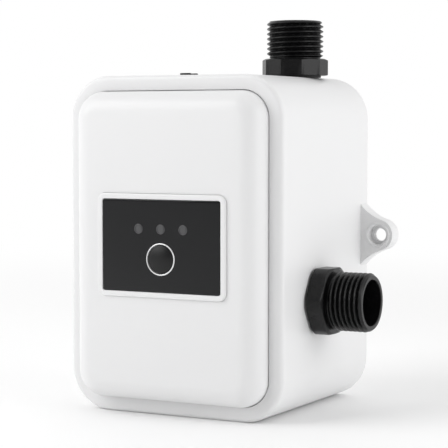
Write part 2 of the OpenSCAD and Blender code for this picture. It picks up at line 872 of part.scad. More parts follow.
module power_socket() {
    cut = collar_r * collar_cut_share;
    depth = body_h + collar_h - plug_depth;
    color(black) translate([socket_x, socket_y, 0]) {
        difference() {
            union() {
                translate([0, 0, body_h]) cylinder(r = socket_flange_r, h = socket_flange_t);
                translate([0, 0, body_h]) difference() {
                    cylinder(r = collar_r, h = collar_h);
                    translate([cut, -2 * collar_r, collar_h])
                        rotate([0, collar_cut_turn, 0]) cube([2 * collar_r, 4 * collar_r, 2 * collar_h]);
                }
                translate([0, 0, body_h - barrel_l]) cylinder(r = barrel_r, h = barrel_l);
                translate([0, 0, body_h - barrel_l - shell_l]) cylinder(r = shell_r, h = shell_l);
            }
            translate([0, 0, depth]) cylinder(r = plug_r, h = plug_depth + over);
        }
        translate([0, 0, depth - over]) cylinder(r = pin_r, h = plug_depth + over - pin_sunk);
    }
}

module power_socket_nut() {
    color("silver") translate([socket_x, socket_y, inner_top - socket_pad_h - socket_nut_t]) difference() {
        rotate(30) cylinder(r = socket_nut_af * hex_share, h = socket_nut_t, $fn = 6);
        translate([0, 0, -over]) cylinder(r = barrel_r + running_gap, h = socket_nut_t + 2 * over);
    }
}

module power_leads() {
    foot = [socket_x, socket_y, body_h - barrel_l - shell_l];
    color("#b02a2a") for (s = [-0.5, 0.5])
        lead(foot + [s * lead_step, 0, 0], [0, 0, -lead_sag], plug_at(1) + [s * lead_step, 0, 0],
             [0, lead_sag, 0], [1, 0, 0]);
}

// chamber of the pump, open to the right, with its stub up to the sensor
module pump_casing() {
    outer_l = chamber_l + case_back;
    color("#2b2d2f") at_pump() difference() {
        union() {
            translate([0, chamber_shift, -half_l - case_back]) cylinder(r = case_r, h = outer_l);
            for (a = LUG_ANGLES)
                translate([-lug_at * sin(a), chamber_shift + lug_at * cos(a), -half_l])
                    cylinder(r = lug_r, h = chamber_l);
            translate([0, 0, -half_l - case_back - collar_l]) cylinder(r = core_r, h = collar_l + case_back);
            translate([0, outlet_y - inlet_y, 0]) rotate([0, -90, 0])
                cylinder(r = half_l, h = sensor_foot - inlet_z - free);
            translate([-case_r, outlet_y - inlet_y, 0]) rotate([0, -90, 0])
                cylinder(r = stub_r, h = sensor_lift + sensor_sleeve_l - free);
        }
        translate([0, chamber_shift, -half_l]) cylinder(r = chamber_r, h = chamber_l + over);
        translate([0, 0, -half_l - case_back - over]) cylinder(r = can_r, h = case_back + 2 * over);
        translate([0, 0, -half_l - case_back - collar_l - over])
            cylinder(r = can_flange_r, h = collar_l + over);
        translate([0, outlet_y - inlet_y, 0]) rotate([0, -90, 0])
            cylinder(r = pipe_r, h = sensor_foot + sensor_sleeve_l - inlet_z + over);
        translate([-(sensor_foot + sensor_sleeve_l / 2 - inlet_z), outlet_y - inlet_y, 0])
            rotate([0, -90, 0]) stub_groove();
        for (a = LUG_ANGLES)
            translate([-lug_at * sin(a), chamber_shift + lug_at * cos(a), half_l - case_screw_l + lid_t])
                cylinder(r = case_screw_r, h = case_screw_l);
    }
}

// the groove of a sealing ring round a stub
module stub_groove() {
    translate([0, 0, -groove_w / 2]) tube(stub_r + over, stub_r - groove_d, groove_w);
}

// three arms that hold a hub in a water way
module spider(r, hub, arm, t) {
    cylinder(r = hub, h = t);
    for (a = [0:120:240])
        rotate(a) translate([0, -arm / 2, 0]) cube([r, arm, t]);
}

module casing_cover() {
    tip = half_l + lid_t + stub_in_l;
    color("#2b2d2f") at_pump() {
        difference() {
            union() {
                translate([0, chamber_shift, half_l]) cylinder(r = case_r, h = lid_t);
                for (a = LUG_ANGLES)
                    translate([-lug_at * sin(a), chamber_shift + lug_at * cos(a), half_l])
                        cylinder(r = lug_r, h = lid_t);
                cylinder(r = stub_r, h = tip);
            }
            translate([0, 0, -over]) cylinder(r = stub_r + over, h = half_l + over);
            translate([0, 0, -over]) cylinder(r = eye_r, h = tip + 2 * over);
            translate([0, 0, tip - groove_w * 2]) stub_groove();
            translate([0, chamber_shift, half_l - over])
                tube(chamber_r - free + groove_seat, chamber_r - groove_seat, over + seal_r * 2);
            for (a = LUG_ANGLES)
                translate([-lug_at * sin(a), chamber_shift + lug_at * cos(a), half_l - over])
                    cylinder(r = case_screw_r + screw_gap, h = lid_t + 2 * over);
        }
        difference() {
            translate([0, 0, half_l]) spider(eye_r + running_gap, hub_eye_r, arm_w, arm_t);
            translate([0, 0, -over]) cylinder(r = shaft_r, h = half_l + arm_t);
        }
    }
}

// a sealing ring in the lid, on the rim of the chamber
module casing_seal() {
    color("#111111") at_pump() translate([0, chamber_shift, half_l + seal_r])
        rotate_extrude() translate([chamber_r - free / 2, 0]) circle(seal_r, $fn = 24);
}

module casing_screws() {
    color("silver") at_pump() for (a = LUG_ANGLES)
        translate([-lug_at * sin(a), chamber_shift + lug_at * cos(a), half_l + lid_t])
            screw(case_screw_r - running_gap, case_screw_l - running_gap, case_head_r, case_head_h);
}

// one curved vane between the hub and the rim
module vane_outline() {
    intersection() {
        difference() {
            translate([0, -vane_arc_r]) circle(vane_arc_r);
            translate([0, -vane_arc_r]) circle(vane_arc_r - vane_t);
        }
        translate([0, -vane_arc_r]) square([2 * vane_arc_r, vane_arc_r]);
        difference() {
            circle(impeller_r - free);
            circle(hub_r - vane_t);
        }
    }
}

// vaned disc with the hub that carries the magnet
module impeller() {
    foot = -half_l + shroud_gap;
    top = half_l - shroud_gap;
    color("#e4e4e2") at_pump() difference() {
        union() {
            translate([0, 0, foot]) cylinder(r = impeller_r, h = disc_t);
            for (i = [0:vanes - 1]) rotate(i * 360 / vanes)
                translate([0, 0, foot + disc_t / 2])
                    linear_extrude(top - foot - disc_t / 2 - shroud_t / 2) vane_outline();
            translate([0, 0, top - shroud_t]) tube(impeller_r, shroud_eye_r, shroud_t);
            translate([0, 0, rotor_back]) cylinder(r = hub_r, h = foot - rotor_back + disc_t / 2);
            translate([0, 0, foot]) cylinder(r = hub_eye_r, h = half_l - end_play - foot);
        }
        translate([0, 0, rotor_back - over]) cylinder(r = bush_r, h = foot + over - rotor_back);
        translate([0, 0, foot - over]) cylinder(r = shaft_r + free, h = chamber_l);
    }
}

module rotor_magnet() {
    color("#4c4e52") at_pump() translate([0, 0, rotor_back + disc_t])
        tube(rotor_r, hub_r, core_l);
}

// two carbon bushes that run on the shaft
module rotor_bushes() {
    top = -half_l + shroud_gap;
    color("#303030") at_pump() {
        translate([0, 0, rotor_back]) tube(bush_r, shaft_r + running_gap, bush_l);
        translate([0, 0, top - bush_l]) tube(bush_r, shaft_r + running_gap, bush_l);
    }
}

module pump_shaft() {
    color("#f2efe6") at_pump() translate([0, 0, can_floor])
        cylinder(r = shaft_r, h = half_l + arm_t - over - can_floor);
}

// thin cup that keeps the water off the windings
module separating_can() {
    flange_z = -half_l - case_back - can_flange_t;
    color("#c9ccce") at_pump() {
        difference() {
            union() {
                translate([0, 0, flange_z]) cylinder(r = can_flange_r - running_gap, h = can_flange_t);
                translate([0, 0, can_back]) cylinder(r = can_out, h = flange_z - can_back + can_flange_t);
            }
            translate([0, 0, can_floor]) cylinder(r = can_r, h = -can_floor);
        }
        translate([0, 0, can_floor]) tube(bush_r, shaft_r, end_gap - end_play);
    }
}

// ring with six inward teeth
module stator_core() {
    color("#8d9196") at_pump() translate([0, 0, core_back]) linear_extrude(core_l) {
        difference() {
            circle(core_r);
            circle(tooth_out);
        }
        intersection() {
            difference() {
                circle(core_r - free);
                circle(can_out + free);
            }
            for (i = [0:teeth - 1]) rotate(i * 360 / teeth) {
                translate([0, -tooth_w / 2]) square([core_r, tooth_w]);
                translate([0, -tooth_w / 2 - tip_t]) square([tooth_in + tip_t, tooth_w + 2 * tip_t]);
            }
        }
    }
}

// a coil of copper round each tooth
module stator_coils() {
    r0 = tooth_in + tip_t + free;
    r1 = tooth_out - coil_t;
    color("#b8692f") at_pump() for (i = [0:teeth - 1]) rotate(i * 360 / teeth)
        difference() {
            translate([r0, -tooth_w / 2 - coil_t - free, core_back - coil_over])
                cube([r1 - r0, tooth_w + 2 * (coil_t + free), core_l + 2 * coil_over]);
            translate([r0 - over, -tooth_w / 2 - free, core_back - free])
                cube([r1 - r0 + 2 * over, tooth_w + 2 * free, core_l + 2 * free]);
        }
}

module motor_shell() {
    front = -half_l - case_back;
    color("#3d4043") at_pump() translate([0, 0, shell_back])
        tube(shell_out, motor_r, front - shell_back);
}

module motor_end_cap() {
    color("#2b2d2f") at_pump() difference() {
        union() {
            translate([0, 0, shell_back - cap_t]) cylinder(r = shell_out, h = cap_t);
            translate([0, 0, shell_back]) tube(motor_r - running_gap, motor_r - shell_wall, cap_lip);
        }
        translate([-lead_hole_at, 0, shell_back - cap_t - over]) cylinder(r = lead_hole_r, h = cap_t + 2 * over);
    }
}

module motor_leads() {
    foot = [pump_x + core_back - coil_over, inlet_y, inlet_z + lead_hole_at];
    color("#2c4f9e") for (s = [-0.5, 0.5])
        lead(foot + [0, s * lead_step, 0], [-lead_out, 0, 0], plug_at(0) + [s * lead_step, 0, 0],
             [0, lead_sag, 0], [0, 0, 1]);
}

// strap round the motor with two arms and feet on the back wall
module pump_bracket() {
    foot_y = inner_back - wall_boss_h - grommet_lip - foot_t;
    color("#9aa0a6") difference() {
        union() {
            translate([strap_x - strap_l / 2, inlet_y, inlet_z]) rotate([0, 90, 0])
                cylinder(r = shell_out + strap_t, h = strap_l);
            for (z = [-1, 1]) {
                translate([strap_x - strap_l / 2, inlet_y, inlet_z + z * (foot_z - foot_h / 2) - strap_t / 2])
                    cube([strap_l, foot_y - inlet_y + foot_t, strap_t]);
                translate([strap_x - foot_w / 2, foot_y, inlet_z + z * foot_z - foot_h / 2])
                    cube([foot_w, foot_t, foot_h]);
            }
        }
        translate([strap_x - strap_l / 2 - over, inlet_y, inlet_z]) rotate([0, 90, 0])
            cylinder(r = shell_out + arm_gap, h = strap_l + 2 * over);
        for (x = [-1, 1], z = [-1, 1])
            facing(foot_y + foot_t + over, inlet_z + z * foot_z, strap_x + x * foot_screw_x)
                cylinder(r = grommet_in, h = foot_t + 2 * over);
    }
}

module bracket_grommets() {
    base_y = inner_back - wall_boss_h;
    color("#202122") for (x = [-1, 1], z = [-1, 1])
        facing(base_y, inlet_z + z * foot_z, strap_x + x * foot_screw_x) difference() {
            union() {
                cylinder(r = grommet_r, h = grommet_lip);
                cylinder(r = grommet_in - running_gap, h = 2 * grommet_lip + foot_t);
                translate([0, 0, grommet_lip + foot_t]) cylinder(r = grommet_r, h = grommet_lip);
            }
            translate([0, 0, -over]) cylinder(r = screw_r + screw_gap, h = 2 * grommet_lip + foot_t + 2 * over);
        }
}

module bracket_screws() {
    head_y = inner_back - wall_boss_h - 2 * grommet_lip - foot_t;
    color("silver") for (x = [-1, 1], z = [-1, 1])
        facing(head_y, inlet_z + z * foot_z, strap_x + x * foot_screw_x)
            screw(screw_r - running_gap, bracket_screw_l - free, head_r, head_h);
}

// sealing rings of the three stubs
module stub_seals() {
    ring = stub_r - groove_d + seal_r;
    color("#111111") {
        at_pump() translate([0, 0, half_l + lid_t + stub_in_l - groove_w * 2])
            rotate_extrude() translate([ring + running_gap / 2, 0]) circle(seal_r, $fn = 24);
        translate([outlet_x, outlet_y, sensor_foot + sensor_sleeve_l / 2])
            rotate_extrude() translate([ring + running_gap / 2, 0]) circle(seal_r, $fn = 24);
        translate([outlet_x, outlet_y, sensor_top - groove_w * 1.5])
            rotate_extrude() translate([ring + running_gap / 2, 0]) circle(seal_r, $fn = 24);
    }
}

// body of the flow sensor: sleeve below, turbine room, stub above
module sensor_body() {
    color("#d9dbda") translate([outlet_x, outlet_y, 0]) {
        difference() {
            union() {
                translate([0, 0, sensor_foot]) cylinder(r = sensor_sleeve_r, h = sensor_z0 - sensor_foot);
                translate([0, 0, sensor_z0 - case_wall]) cylinder(r = sensor_r, h = sensor_room + 2 * case_wall);
                translate([0, 0, sensor_z1]) cylinder(r = stub_r, h = sensor_top - sensor_z1);
            }
            translate([0, 0, sensor_foot - over]) cylinder(r = stub_r + free, h = sensor_sleeve_l + over);
            translate([0, 0, sensor_foot]) cylinder(r = pipe_r, h = sensor_top - sensor_foot + over);
            translate([0, 0, sensor_z0]) cylinder(r = sensor_in, h = sensor_room);
            translate([0, 0, sensor_top - groove_w * 1.5]) stub_groove();
        }
        for (z = [sensor_z0, sensor_z1 - spider_t])
            translate([0, 0, z]) difference() {
                spider(sensor_in + free / 2, spider_hub_r, spider_arm, spider_t);
                translate([0, 0, -over]) cylinder(r = axle_r, h = spider_t + 2 * over);
            }
    }
}

module sensor_turbine() {
    mid = (sensor_z0 + sensor_z1) / 2;
    color("#e9e4d2") translate([outlet_x, outlet_y, mid - turbine_l / 2]) difference() {
        union() {
            cylinder(r = turbine_hub_r, h = turbine_l);
            intersection() {
                cylinder(r = turbine_r, h = turbine_l);
                for (i = [0:blades - 1]) rotate(i * 360 / blades)
                    translate([0, 0, turbine_l / 2]) rotate([blade_tilt, 0, 0])
                        translate([0, -blade_t / 2, -turbine_l]) cube([turbine_r + over, blade_t, 2 * turbine_l]);
            }
        }
        translate([0, 0, -over]) cylinder(r = axle_r + running_gap, h = turbine_l + 2 * over);
    }
}

module turbine_axle() {
    color("silver") translate([outlet_x, outlet_y, sensor_z0])
        cylinder(r = axle_r, h = sensor_room);
}

// pickup that counts the turbine's turns, on the left of the sensor body
module sensor_pickup() {
    color("#1f6b45") translate([outlet_x - sensor_r - pickup_t - free / 2, outlet_y - pickup_w / 2,
                                (sensor_z0 + sensor_z1) / 2 - pickup_h / 2])
        cube([pickup_t, pickup_w, pickup_h]);
}

module sensor_leads() {
    foot = [outlet_x - sensor_r - pickup_t / 2, outlet_y - pickup_w / 2, (sensor_z0 + sensor_z1) / 2];
    color("#d0b030") for (s = [-0.5, 0.5])
        lead(foot + [0, 0, s * lead_step], [0, -lead_sag, 0], plug_at(2) + [0, 0, s * lead_step],
             [0, lead_sag, 0], [1, 0, 0]);
}

rear_housing();
front_cover();
cover_seal();
cover_screws();
bezel_frame();
control_plate();
indicator_lenses();
button_ring();
power_button();
button_spring();
switch_plunger();
tact_switch();
control_board();
board_lights();
board_plugs();
board_screws();
power_socket();
power_socket_nut();
power_leads();
inlet_fitting();
inlet_washer();
inlet_nut();
inlet_strainer();
outlet_fitting();
outlet_washer();
outlet_nut();
pump_casing();
casing_cover();
casing_seal();
casing_screws();
impeller();
rotor_magnet();
rotor_bushes();
pump_shaft();
separating_can();
stator_core();
stator_coils();
motor_shell();
motor_end_cap();
motor_leads();
pump_bracket();
bracket_grommets();
bracket_screws();
stub_seals();
sensor_body();
sensor_turbine();
turbine_axle();
sensor_pickup();
sensor_leads();
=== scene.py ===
# %% [markdown]
# # A shower pump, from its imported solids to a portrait
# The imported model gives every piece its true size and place. This lesson dresses it: the
# pieces that the eye reads first are rebuilt as fine surfaces, and every other piece keeps
# its exact solid and gets a finish. All sizes below are millimetres, turned into metres last.

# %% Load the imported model
import json
import math

import bmesh
import bpy
import numpy as np
from mathutils.geometry import tessellate_polygon
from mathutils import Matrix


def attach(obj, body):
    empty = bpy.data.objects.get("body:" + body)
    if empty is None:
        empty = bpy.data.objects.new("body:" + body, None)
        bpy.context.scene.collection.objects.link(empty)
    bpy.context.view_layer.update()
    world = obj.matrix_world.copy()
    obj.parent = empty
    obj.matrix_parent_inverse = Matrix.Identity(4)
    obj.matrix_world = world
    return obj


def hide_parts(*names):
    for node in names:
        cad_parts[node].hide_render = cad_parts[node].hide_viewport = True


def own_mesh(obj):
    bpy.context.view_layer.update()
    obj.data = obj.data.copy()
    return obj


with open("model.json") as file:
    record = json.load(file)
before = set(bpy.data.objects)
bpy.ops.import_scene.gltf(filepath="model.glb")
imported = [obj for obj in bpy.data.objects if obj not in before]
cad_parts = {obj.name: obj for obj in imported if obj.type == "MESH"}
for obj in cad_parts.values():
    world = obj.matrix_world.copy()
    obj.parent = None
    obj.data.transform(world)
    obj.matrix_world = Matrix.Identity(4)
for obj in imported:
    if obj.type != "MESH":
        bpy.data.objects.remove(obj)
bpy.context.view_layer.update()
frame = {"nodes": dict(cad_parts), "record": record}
MM = 0.001

# %% [markdown]
# ## The camera
# A long lens stands to the right of the pump and a little below its top, so that the front
# and the right side show and the top doesn't. The focal length, place and turn were fitted
# to the straight edges in the photograph; they could also be matched by eye.

# %% Camera
FRAME_PIXELS = 448
FOCAL_PIXELS = 1658
SENSOR = 36
CAMERA_AT = (290.7, -544.2, 103.4)
CAMERA_TURN = 28.07
CAMERA_DROP = 3.414
NEAREST, FARTHEST = 0.05, 30

eye = bpy.data.cameras.new("portrait_camera")
eye.sensor_width = SENSOR
eye.lens = FOCAL_PIXELS / FRAME_PIXELS * SENSOR
eye.clip_start, eye.clip_end = NEAREST, FARTHEST
camera = bpy.data.objects.new("portrait_camera", eye)
camera.location = [v * MM for v in CAMERA_AT]
camera.rotation_euler = (math.radians(90 - CAMERA_DROP), 0, math.radians(CAMERA_TURN))
bpy.context.scene.collection.objects.link(camera)
bpy.context.scene.camera = camera
print("lens, mm:", round(eye.lens, 1))

# %% [markdown]
# ## Surfaces from tables of points
# Each new piece is a set of rings or sheets of points. A small builder joins them with
# faces, welds the seams and turns all faces outwards. Modelling by hand in edit mode would
# also do, but a table keeps each curve tied to the sizes it comes from.

# %% The builder of skins
WELD = 0.002
FINISH_OF = {}


class Skin:
    """Collects sheets of points and flat faces, and welds them into one closed piece."""

    def __init__(self):
        self.points, self.faces, self.count = [], [], 0

    def _add(self, points, faces):
        """Keeps the points, and the faces with their numbers moved past the points before."""
        self.points.append(np.asarray(points, float).reshape(-1, 3))
        self.faces.extend((np.asarray(faces) + self.count).tolist())
        self.count += len(self.points[-1])

    def sheet(self, table):
        """Joins each point with its neighbours in the next row and, all the way round, in the
        next column."""
        rows, columns = table.shape[:2]
        i = np.arange(rows - 1)[:, None] * columns
        j = np.arange(columns)[None, :]
        k = (j + 1) % columns
        quads = np.stack([i + j, i + k, i + columns + k, i + columns + j], -1)
        self._add(table, quads.reshape(-1, 4))

    def flat(self, outer, holes=()):
        """Fills the space between an outer loop and its holes with triangles."""
        loops = [np.asarray(loop, float) for loop in (outer, *holes)]
        triangles = tessellate_polygon([[tuple(p) for p in loop] for loop in loops])
        self._add(np.concatenate(loops), triangles)

    def piece(self, name, body, slot, replaces=(), sharp=32):
        """Makes the object: welded, facing outwards, smooth but for edges over sharp degrees."""
        mesh = bpy.data.meshes.new(name)
        mesh.from_pydata((np.concatenate(self.points) * MM).tolist(), [], self.faces)
        work = bmesh.new()
        work.from_mesh(mesh)
        bmesh.ops.remove_doubles(work, verts=work.verts, dist=WELD * MM)
        bmesh.ops.recalc_face_normals(work, faces=work.faces)
        work.to_mesh(mesh)
        work.free()
        mesh.shade_smooth()
        mesh.set_sharp_from_angle(angle=math.radians(sharp))
        made = bpy.data.objects.new(name, mesh)
        bpy.context.scene.collection.objects.link(made)
        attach(made, body)
        if replaces:
            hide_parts(*replaces)
        FINISH_OF[name] = slot
        print(name, "faces:", len(mesh.polygons))
        return made


# %% [markdown]
# ## Three kinds of line
# The housing, the cover and the control frame are all rectangles with round corners, seen
# from the front. The spouts, the button and the lights are turned round an axis. An arc
# gives both of them their soft edges.

# %% Rings, arcs and turned shapes
WIDE, HIGH, DEEP, CORNER = 86, 121, 74, 15.5
MIDDLE = (0, HIGH / 2)
LEAST_CORNER = 0.05


def arc(centre, radius, start, stop, steps=8):
    """Points of an arc: centre plus radius times the unit circle from start to stop degrees."""
    turn = np.radians(np.linspace(start, stop, steps + 1))
    return np.stack([centre[0] + radius * np.cos(turn), centre[1] + radius * np.sin(turn)], -1)


def soft_rectangle(width, height, corner, steps=16):
    """Each corner's centre plus the corner radius times a quarter of the unit circle."""
    signs = np.array([[1, 1], [-1, 1], [-1, -1], [1, -1]])
    centres = signs * [width / 2 - corner, height / 2 - corner]
    return np.concatenate([arc(centre, corner, 90 * k, 90 * k + 90, steps)
                           for k, centre in enumerate(centres)])


def standing(outline, depth, middle=MIDDLE):
    """Stands a flat outline up: across becomes X, up becomes Z, and depth is Y."""
    return np.stack([outline[:, 0] + middle[0], np.full(len(outline), float(depth)),
                     outline[:, 1] + middle[1]], -1)


def framed_rings(width, height, corner, profile, middle=MIDDLE, steps=16):
    """For each (inset, depth) of the profile, the rectangle drawn in by inset at that depth."""
    rings = []
    for inset, depth in profile:
        ring = soft_rectangle(width - 2 * inset, height - 2 * inset,
                              max(corner - inset, LEAST_CORNER), steps)
        rings.append(standing(ring, depth, middle))
    return np.stack(rings)


def turned(profile, columns=96):
    """Turns a profile of (radius, height) round the Z axis: x and y are radius times the
    unit circle."""
    turn = np.linspace(0, 2 * math.pi, columns, endpoint=False)
    profile = np.asarray(profile, float)
    return np.stack([profile[:, :1] * np.cos(turn), profile[:, :1] * np.sin(turn),
                     np.repeat(profile[:, 1:], columns, 1)], -1)


def facing(table, centre):
    """Lays a shape turned round Z on a line to the front: its height now counts towards -Y."""
    return np.stack([centre[0] + table[..., 0], centre[1] - table[..., 2],
                     centre[2] + table[..., 1]], -1)


print("outline of the body, mm:", np.ptp(soft_rectangle(WIDE, HIGH, CORNER), axis=0).tolist())

# %% [markdown]
# ## The housing
# The real housing is one white moulding with walls of even thickness: a flat step round the
# cover's opening, soft outer edges, and four deep screw wells in its back. Here a profile of
# insets and depths is carried round the outline, outside and inside, so the shell has real
# walls. The round wells are holes in the flat back, each with its own cup.

# %% Sizes of the housing
EDGE, WALL = 1.5, 2.5
STEP, GAP, LIP = 5.6, 0.25, 0.25
LEDGE_WIDE, LEDGE_DROP, LEDGE_THICK = 2.4, 3.5, 2.5
FRONT, BACK = -DEEP / 2, DEEP / 2
COVER_WIDE, COVER_HIGH, COVER_CORNER = WIDE - 2 * STEP, HIGH - 2 * STEP, CORNER - STEP
LEDGE = FRONT + LEDGE_DROP
WELL, WELL_FLOOR = 3.0, -26.6
POST, POST_END = 4.2, -29.6
POST_FOOT_CLEAR, POST_TOP_CLEAR, POST_DOWN = 1.7, 1.9, 20
post_reach = (COVER_CORNER - LEDGE_WIDE - POST_FOOT_CLEAR) * math.sqrt(0.5)
post_foot = (COVER_WIDE / 2 - COVER_CORNER + post_reach, STEP + COVER_CORNER - post_reach)
post_top = (COVER_WIDE / 2 - LEDGE_WIDE - POST_TOP_CLEAR, HIGH - POST_DOWN)
POSTS = [(s * x, z) for x, z in (post_top, post_foot) for s in (1, -1)]
print("screw wells, mm:", [(round(x, 1), round(z, 1)) for x, z in POSTS])


# %% The shell itself
def hoop(radius, centre, depth, columns=48):
    """A circle of points that stands at a depth."""
    return standing(arc((0, 0), radius, 0, 360, columns)[:-1], depth, centre)


def back_plane(inset, depth, radius):
    """The flat back, drawn in by inset at a depth, with a round hole at each well."""
    outline = soft_rectangle(WIDE - 2 * inset, HIGH - 2 * inset, CORNER - inset)
    return standing(outline, depth), [hoop(radius, post, depth) for post in POSTS]


def screw_well(skin, post):
    """A cup from the back: a bore with an eased mouth, the post round it, and both floors."""
    bore = [(WELL + LIP, BACK), (WELL, BACK - LIP), (WELL, WELL_FLOOR)]
    skin.sheet(np.stack([hoop(radius, post, depth) for radius, depth in bore]))
    skin.sheet(np.stack([hoop(POST, post, BACK - WALL), hoop(POST, post, POST_END)]))
    skin.flat(hoop(WELL, post, WELL_FLOOR))
    skin.flat(hoop(POST, post, POST_END))


opening = STEP - GAP
seat = [(STEP + LEDGE_WIDE, LEDGE + LEDGE_THICK), (STEP + LEDGE_WIDE, LEDGE),
        (opening, LEDGE), (opening, FRONT + LIP)]
step_edge = [(opening - LIP + a, d) for a, d in arc((0, FRONT + LIP), LIP, 0, -90, 3)]
front_edge = [(EDGE - a, d) for a, d in arc((0, FRONT + EDGE), EDGE, 270, 360)]
back_edge = [(EDGE - a, d) for a, d in arc((0, BACK - EDGE), EDGE, 0, 90)]
ledge_back = [(STEP + LEDGE_WIDE, LEDGE + LEDGE_THICK), (WALL + EDGE, LEDGE + LEDGE_THICK)]
inner_edge = [(WALL + EDGE - a, d) for a, d in arc((0, BACK - WALL - EDGE), EDGE, 0, 90, 6)]

housing = Skin()
for profile in (seat + step_edge + front_edge + back_edge, ledge_back + inner_edge):
    housing.sheet(framed_rings(WIDE, HIGH, CORNER, profile))
housing.flat(*back_plane(EDGE, BACK, WELL + LIP))
housing.flat(*back_plane(WALL + EDGE, BACK - WALL, POST))
for post in POSTS:
    screw_well(housing, post)
housing.piece("housing_shell", "housing", "white_shell", ["rear_housing"])

# %% [markdown]
# ## The screw ears
# Each ear grows out of the side in two hollow curves and ends in a round tip. Its hole has a
# sunk seat for a screw head with a low soft ring round it. The outline is one formula: an arc
# round the tip, and two wide hollow arcs that start at the side and touch the tip's circle.
# Drawn in by an inset, the same formula gives the rings of the rounded rim, and rings round
# the hole close the faces.

# %% Outline of an ear
EAR_AT = (50, 62.3)
EAR_TIP, EAR_ROOT, EAR_HOLLOW, EAR_THICK = 5.9, 11.5, 18, 7.6
EAR_EDGE, EAR_BACK_EDGE = 0.25, 1.6


def ear_outline(inset):
    """Root, hollow arc, tip, hollow arc, root. A hollow arc's centre is its own radius away from
    the root, and that radius plus the tip's radius away from the tip's centre."""
    reach = EAR_AT[0] - WIDE / 2
    span = math.hypot(reach, EAR_ROOT)
    way = np.array([reach, -EAR_ROOT]) / span
    along = span / 2 - EAR_TIP * (EAR_HOLLOW + EAR_TIP / 2) / span
    aside = math.sqrt(EAR_HOLLOW ** 2 - along ** 2)
    x, z = along * way + aside * np.array([-way[1], way[0]]) + [0, EAR_ROOT]
    lean = math.degrees(math.atan2(z, x - reach))
    to_root = 180 + math.degrees(math.atan2(z - EAR_ROOT, x))
    low = arc((x, -z), EAR_HOLLOW + inset, -to_root, -180 - lean, 20)
    tip = arc((reach, 0), EAR_TIP - inset, -lean, lean, 40)
    top = arc((x, z), EAR_HOLLOW + inset, 180 + lean, to_root, 20)
    root = np.array([[-WALL / 2, EAR_ROOT - inset], [-WALL / 2, 0], [-WALL / 2, inset - EAR_ROOT]])
    return np.concatenate([low, tip[1:-1], top, root])


def ear_loop(inset, depth, side):
    """The outline drawn in by inset, stood up at a depth on one side of the housing."""
    line = ear_outline(inset)
    return np.stack([side * (WIDE / 2 + line[:, 0]), np.full(len(line), float(depth)),
                     EAR_AT[1] + line[:, 1]], -1)


print("ear, mm:", np.ptp(ear_loop(0, 0, 1), axis=0).round(1).tolist())

# %% Both ears
SEAT, HOLE, SEAT_DEEP, WEB = 3.6, 2.4, 2.5, 1.9
RING_IN, RING_OUT, RING_UP = 3.85, 4.75, 0.3


def ear_ring(radius, depth, side):
    """A circle round the screw hole at a depth."""
    return hoop(radius, (side * EAR_AT[0], EAR_AT[1]), depth, 64)


def make_ear(name, side):
    """Two faces, a rim of two quarter circles, a ring of half a circle, and the stepped hole."""
    ear = Skin()
    front, back = BACK - EAR_THICK, BACK
    quarter = np.linspace(0, math.pi / 2, 8)
    rim = [ear_loop(EAR_EDGE * (1 - math.sin(t)), front + EAR_EDGE * (1 - math.cos(t)), side)
           for t in quarter]
    rim += [ear_loop(EAR_BACK_EDGE * (1 - math.cos(t)), back - EAR_BACK_EDGE * (1 - math.sin(t)),
                     side) for t in quarter]
    ear.sheet(np.stack(rim))
    hump = [(RING_OUT - (RING_OUT - RING_IN) * (1 - math.cos(t)) / 2, front - RING_UP * math.sin(t))
            for t in np.linspace(0, math.pi, 9)]
    web = front + SEAT_DEEP
    bore = [(SEAT + LIP, front), (SEAT, front + LIP), (SEAT, web), (HOLE, web),
            (HOLE, web + WEB), (SEAT, web + WEB), (SEAT, back - LIP), (SEAT + LIP, back)]
    ear.sheet(np.stack([ear_ring(radius, depth, side) for radius, depth in hump + bore]))
    ear.flat(ear_loop(EAR_EDGE, front, side), [ear_ring(RING_OUT, front, side)])
    ear.flat(ear_loop(EAR_BACK_EDGE, back, side), [ear_ring(SEAT + LIP, back, side)])
    ear.piece(name, "housing", "white_shell")


make_ear("right_ear", 1)
make_ear("left_ear", -1)

# %% [markdown]
# ## The front cover
# The cover is a raised pillow with a wide round shoulder. Its skirt drops into the step and
# leaves the thin dark line that makes the front look like two parts. The shoulder is a
# quarter circle of insets, and the face runs on into the pocket of the control frame.

# %% Cover
RISE, SHOULDER, COVER_WALL, SKIRT_CLEAR = 8.5, 7.3, 2.4, 0.8
FACE = FRONT - RISE
SKIRT = LEDGE - SKIRT_CLEAR
PANEL_WIDE, PANEL_HIGH, PANEL_CORNER, PANEL_Z = 51.5, 36.6, 2.9, 61.2
PANEL_MIDDLE = (0, PANEL_Z)
PANEL_RIM, PANEL_LEDGE = 2.0, 1.3
POCKET, POCKET_PLAY = 1.2, 0.1
WINDOW = PANEL_RIM + PANEL_LEDGE


def shoulder_profile(wall):
    """Insets and depths of a quarter circle between the skirt and the face, wall deep inside."""
    radius = SHOULDER - wall
    return [(wall + radius - a, d) for a, d in arc((0, FACE + SHOULDER), radius, 0, -90, 14)]


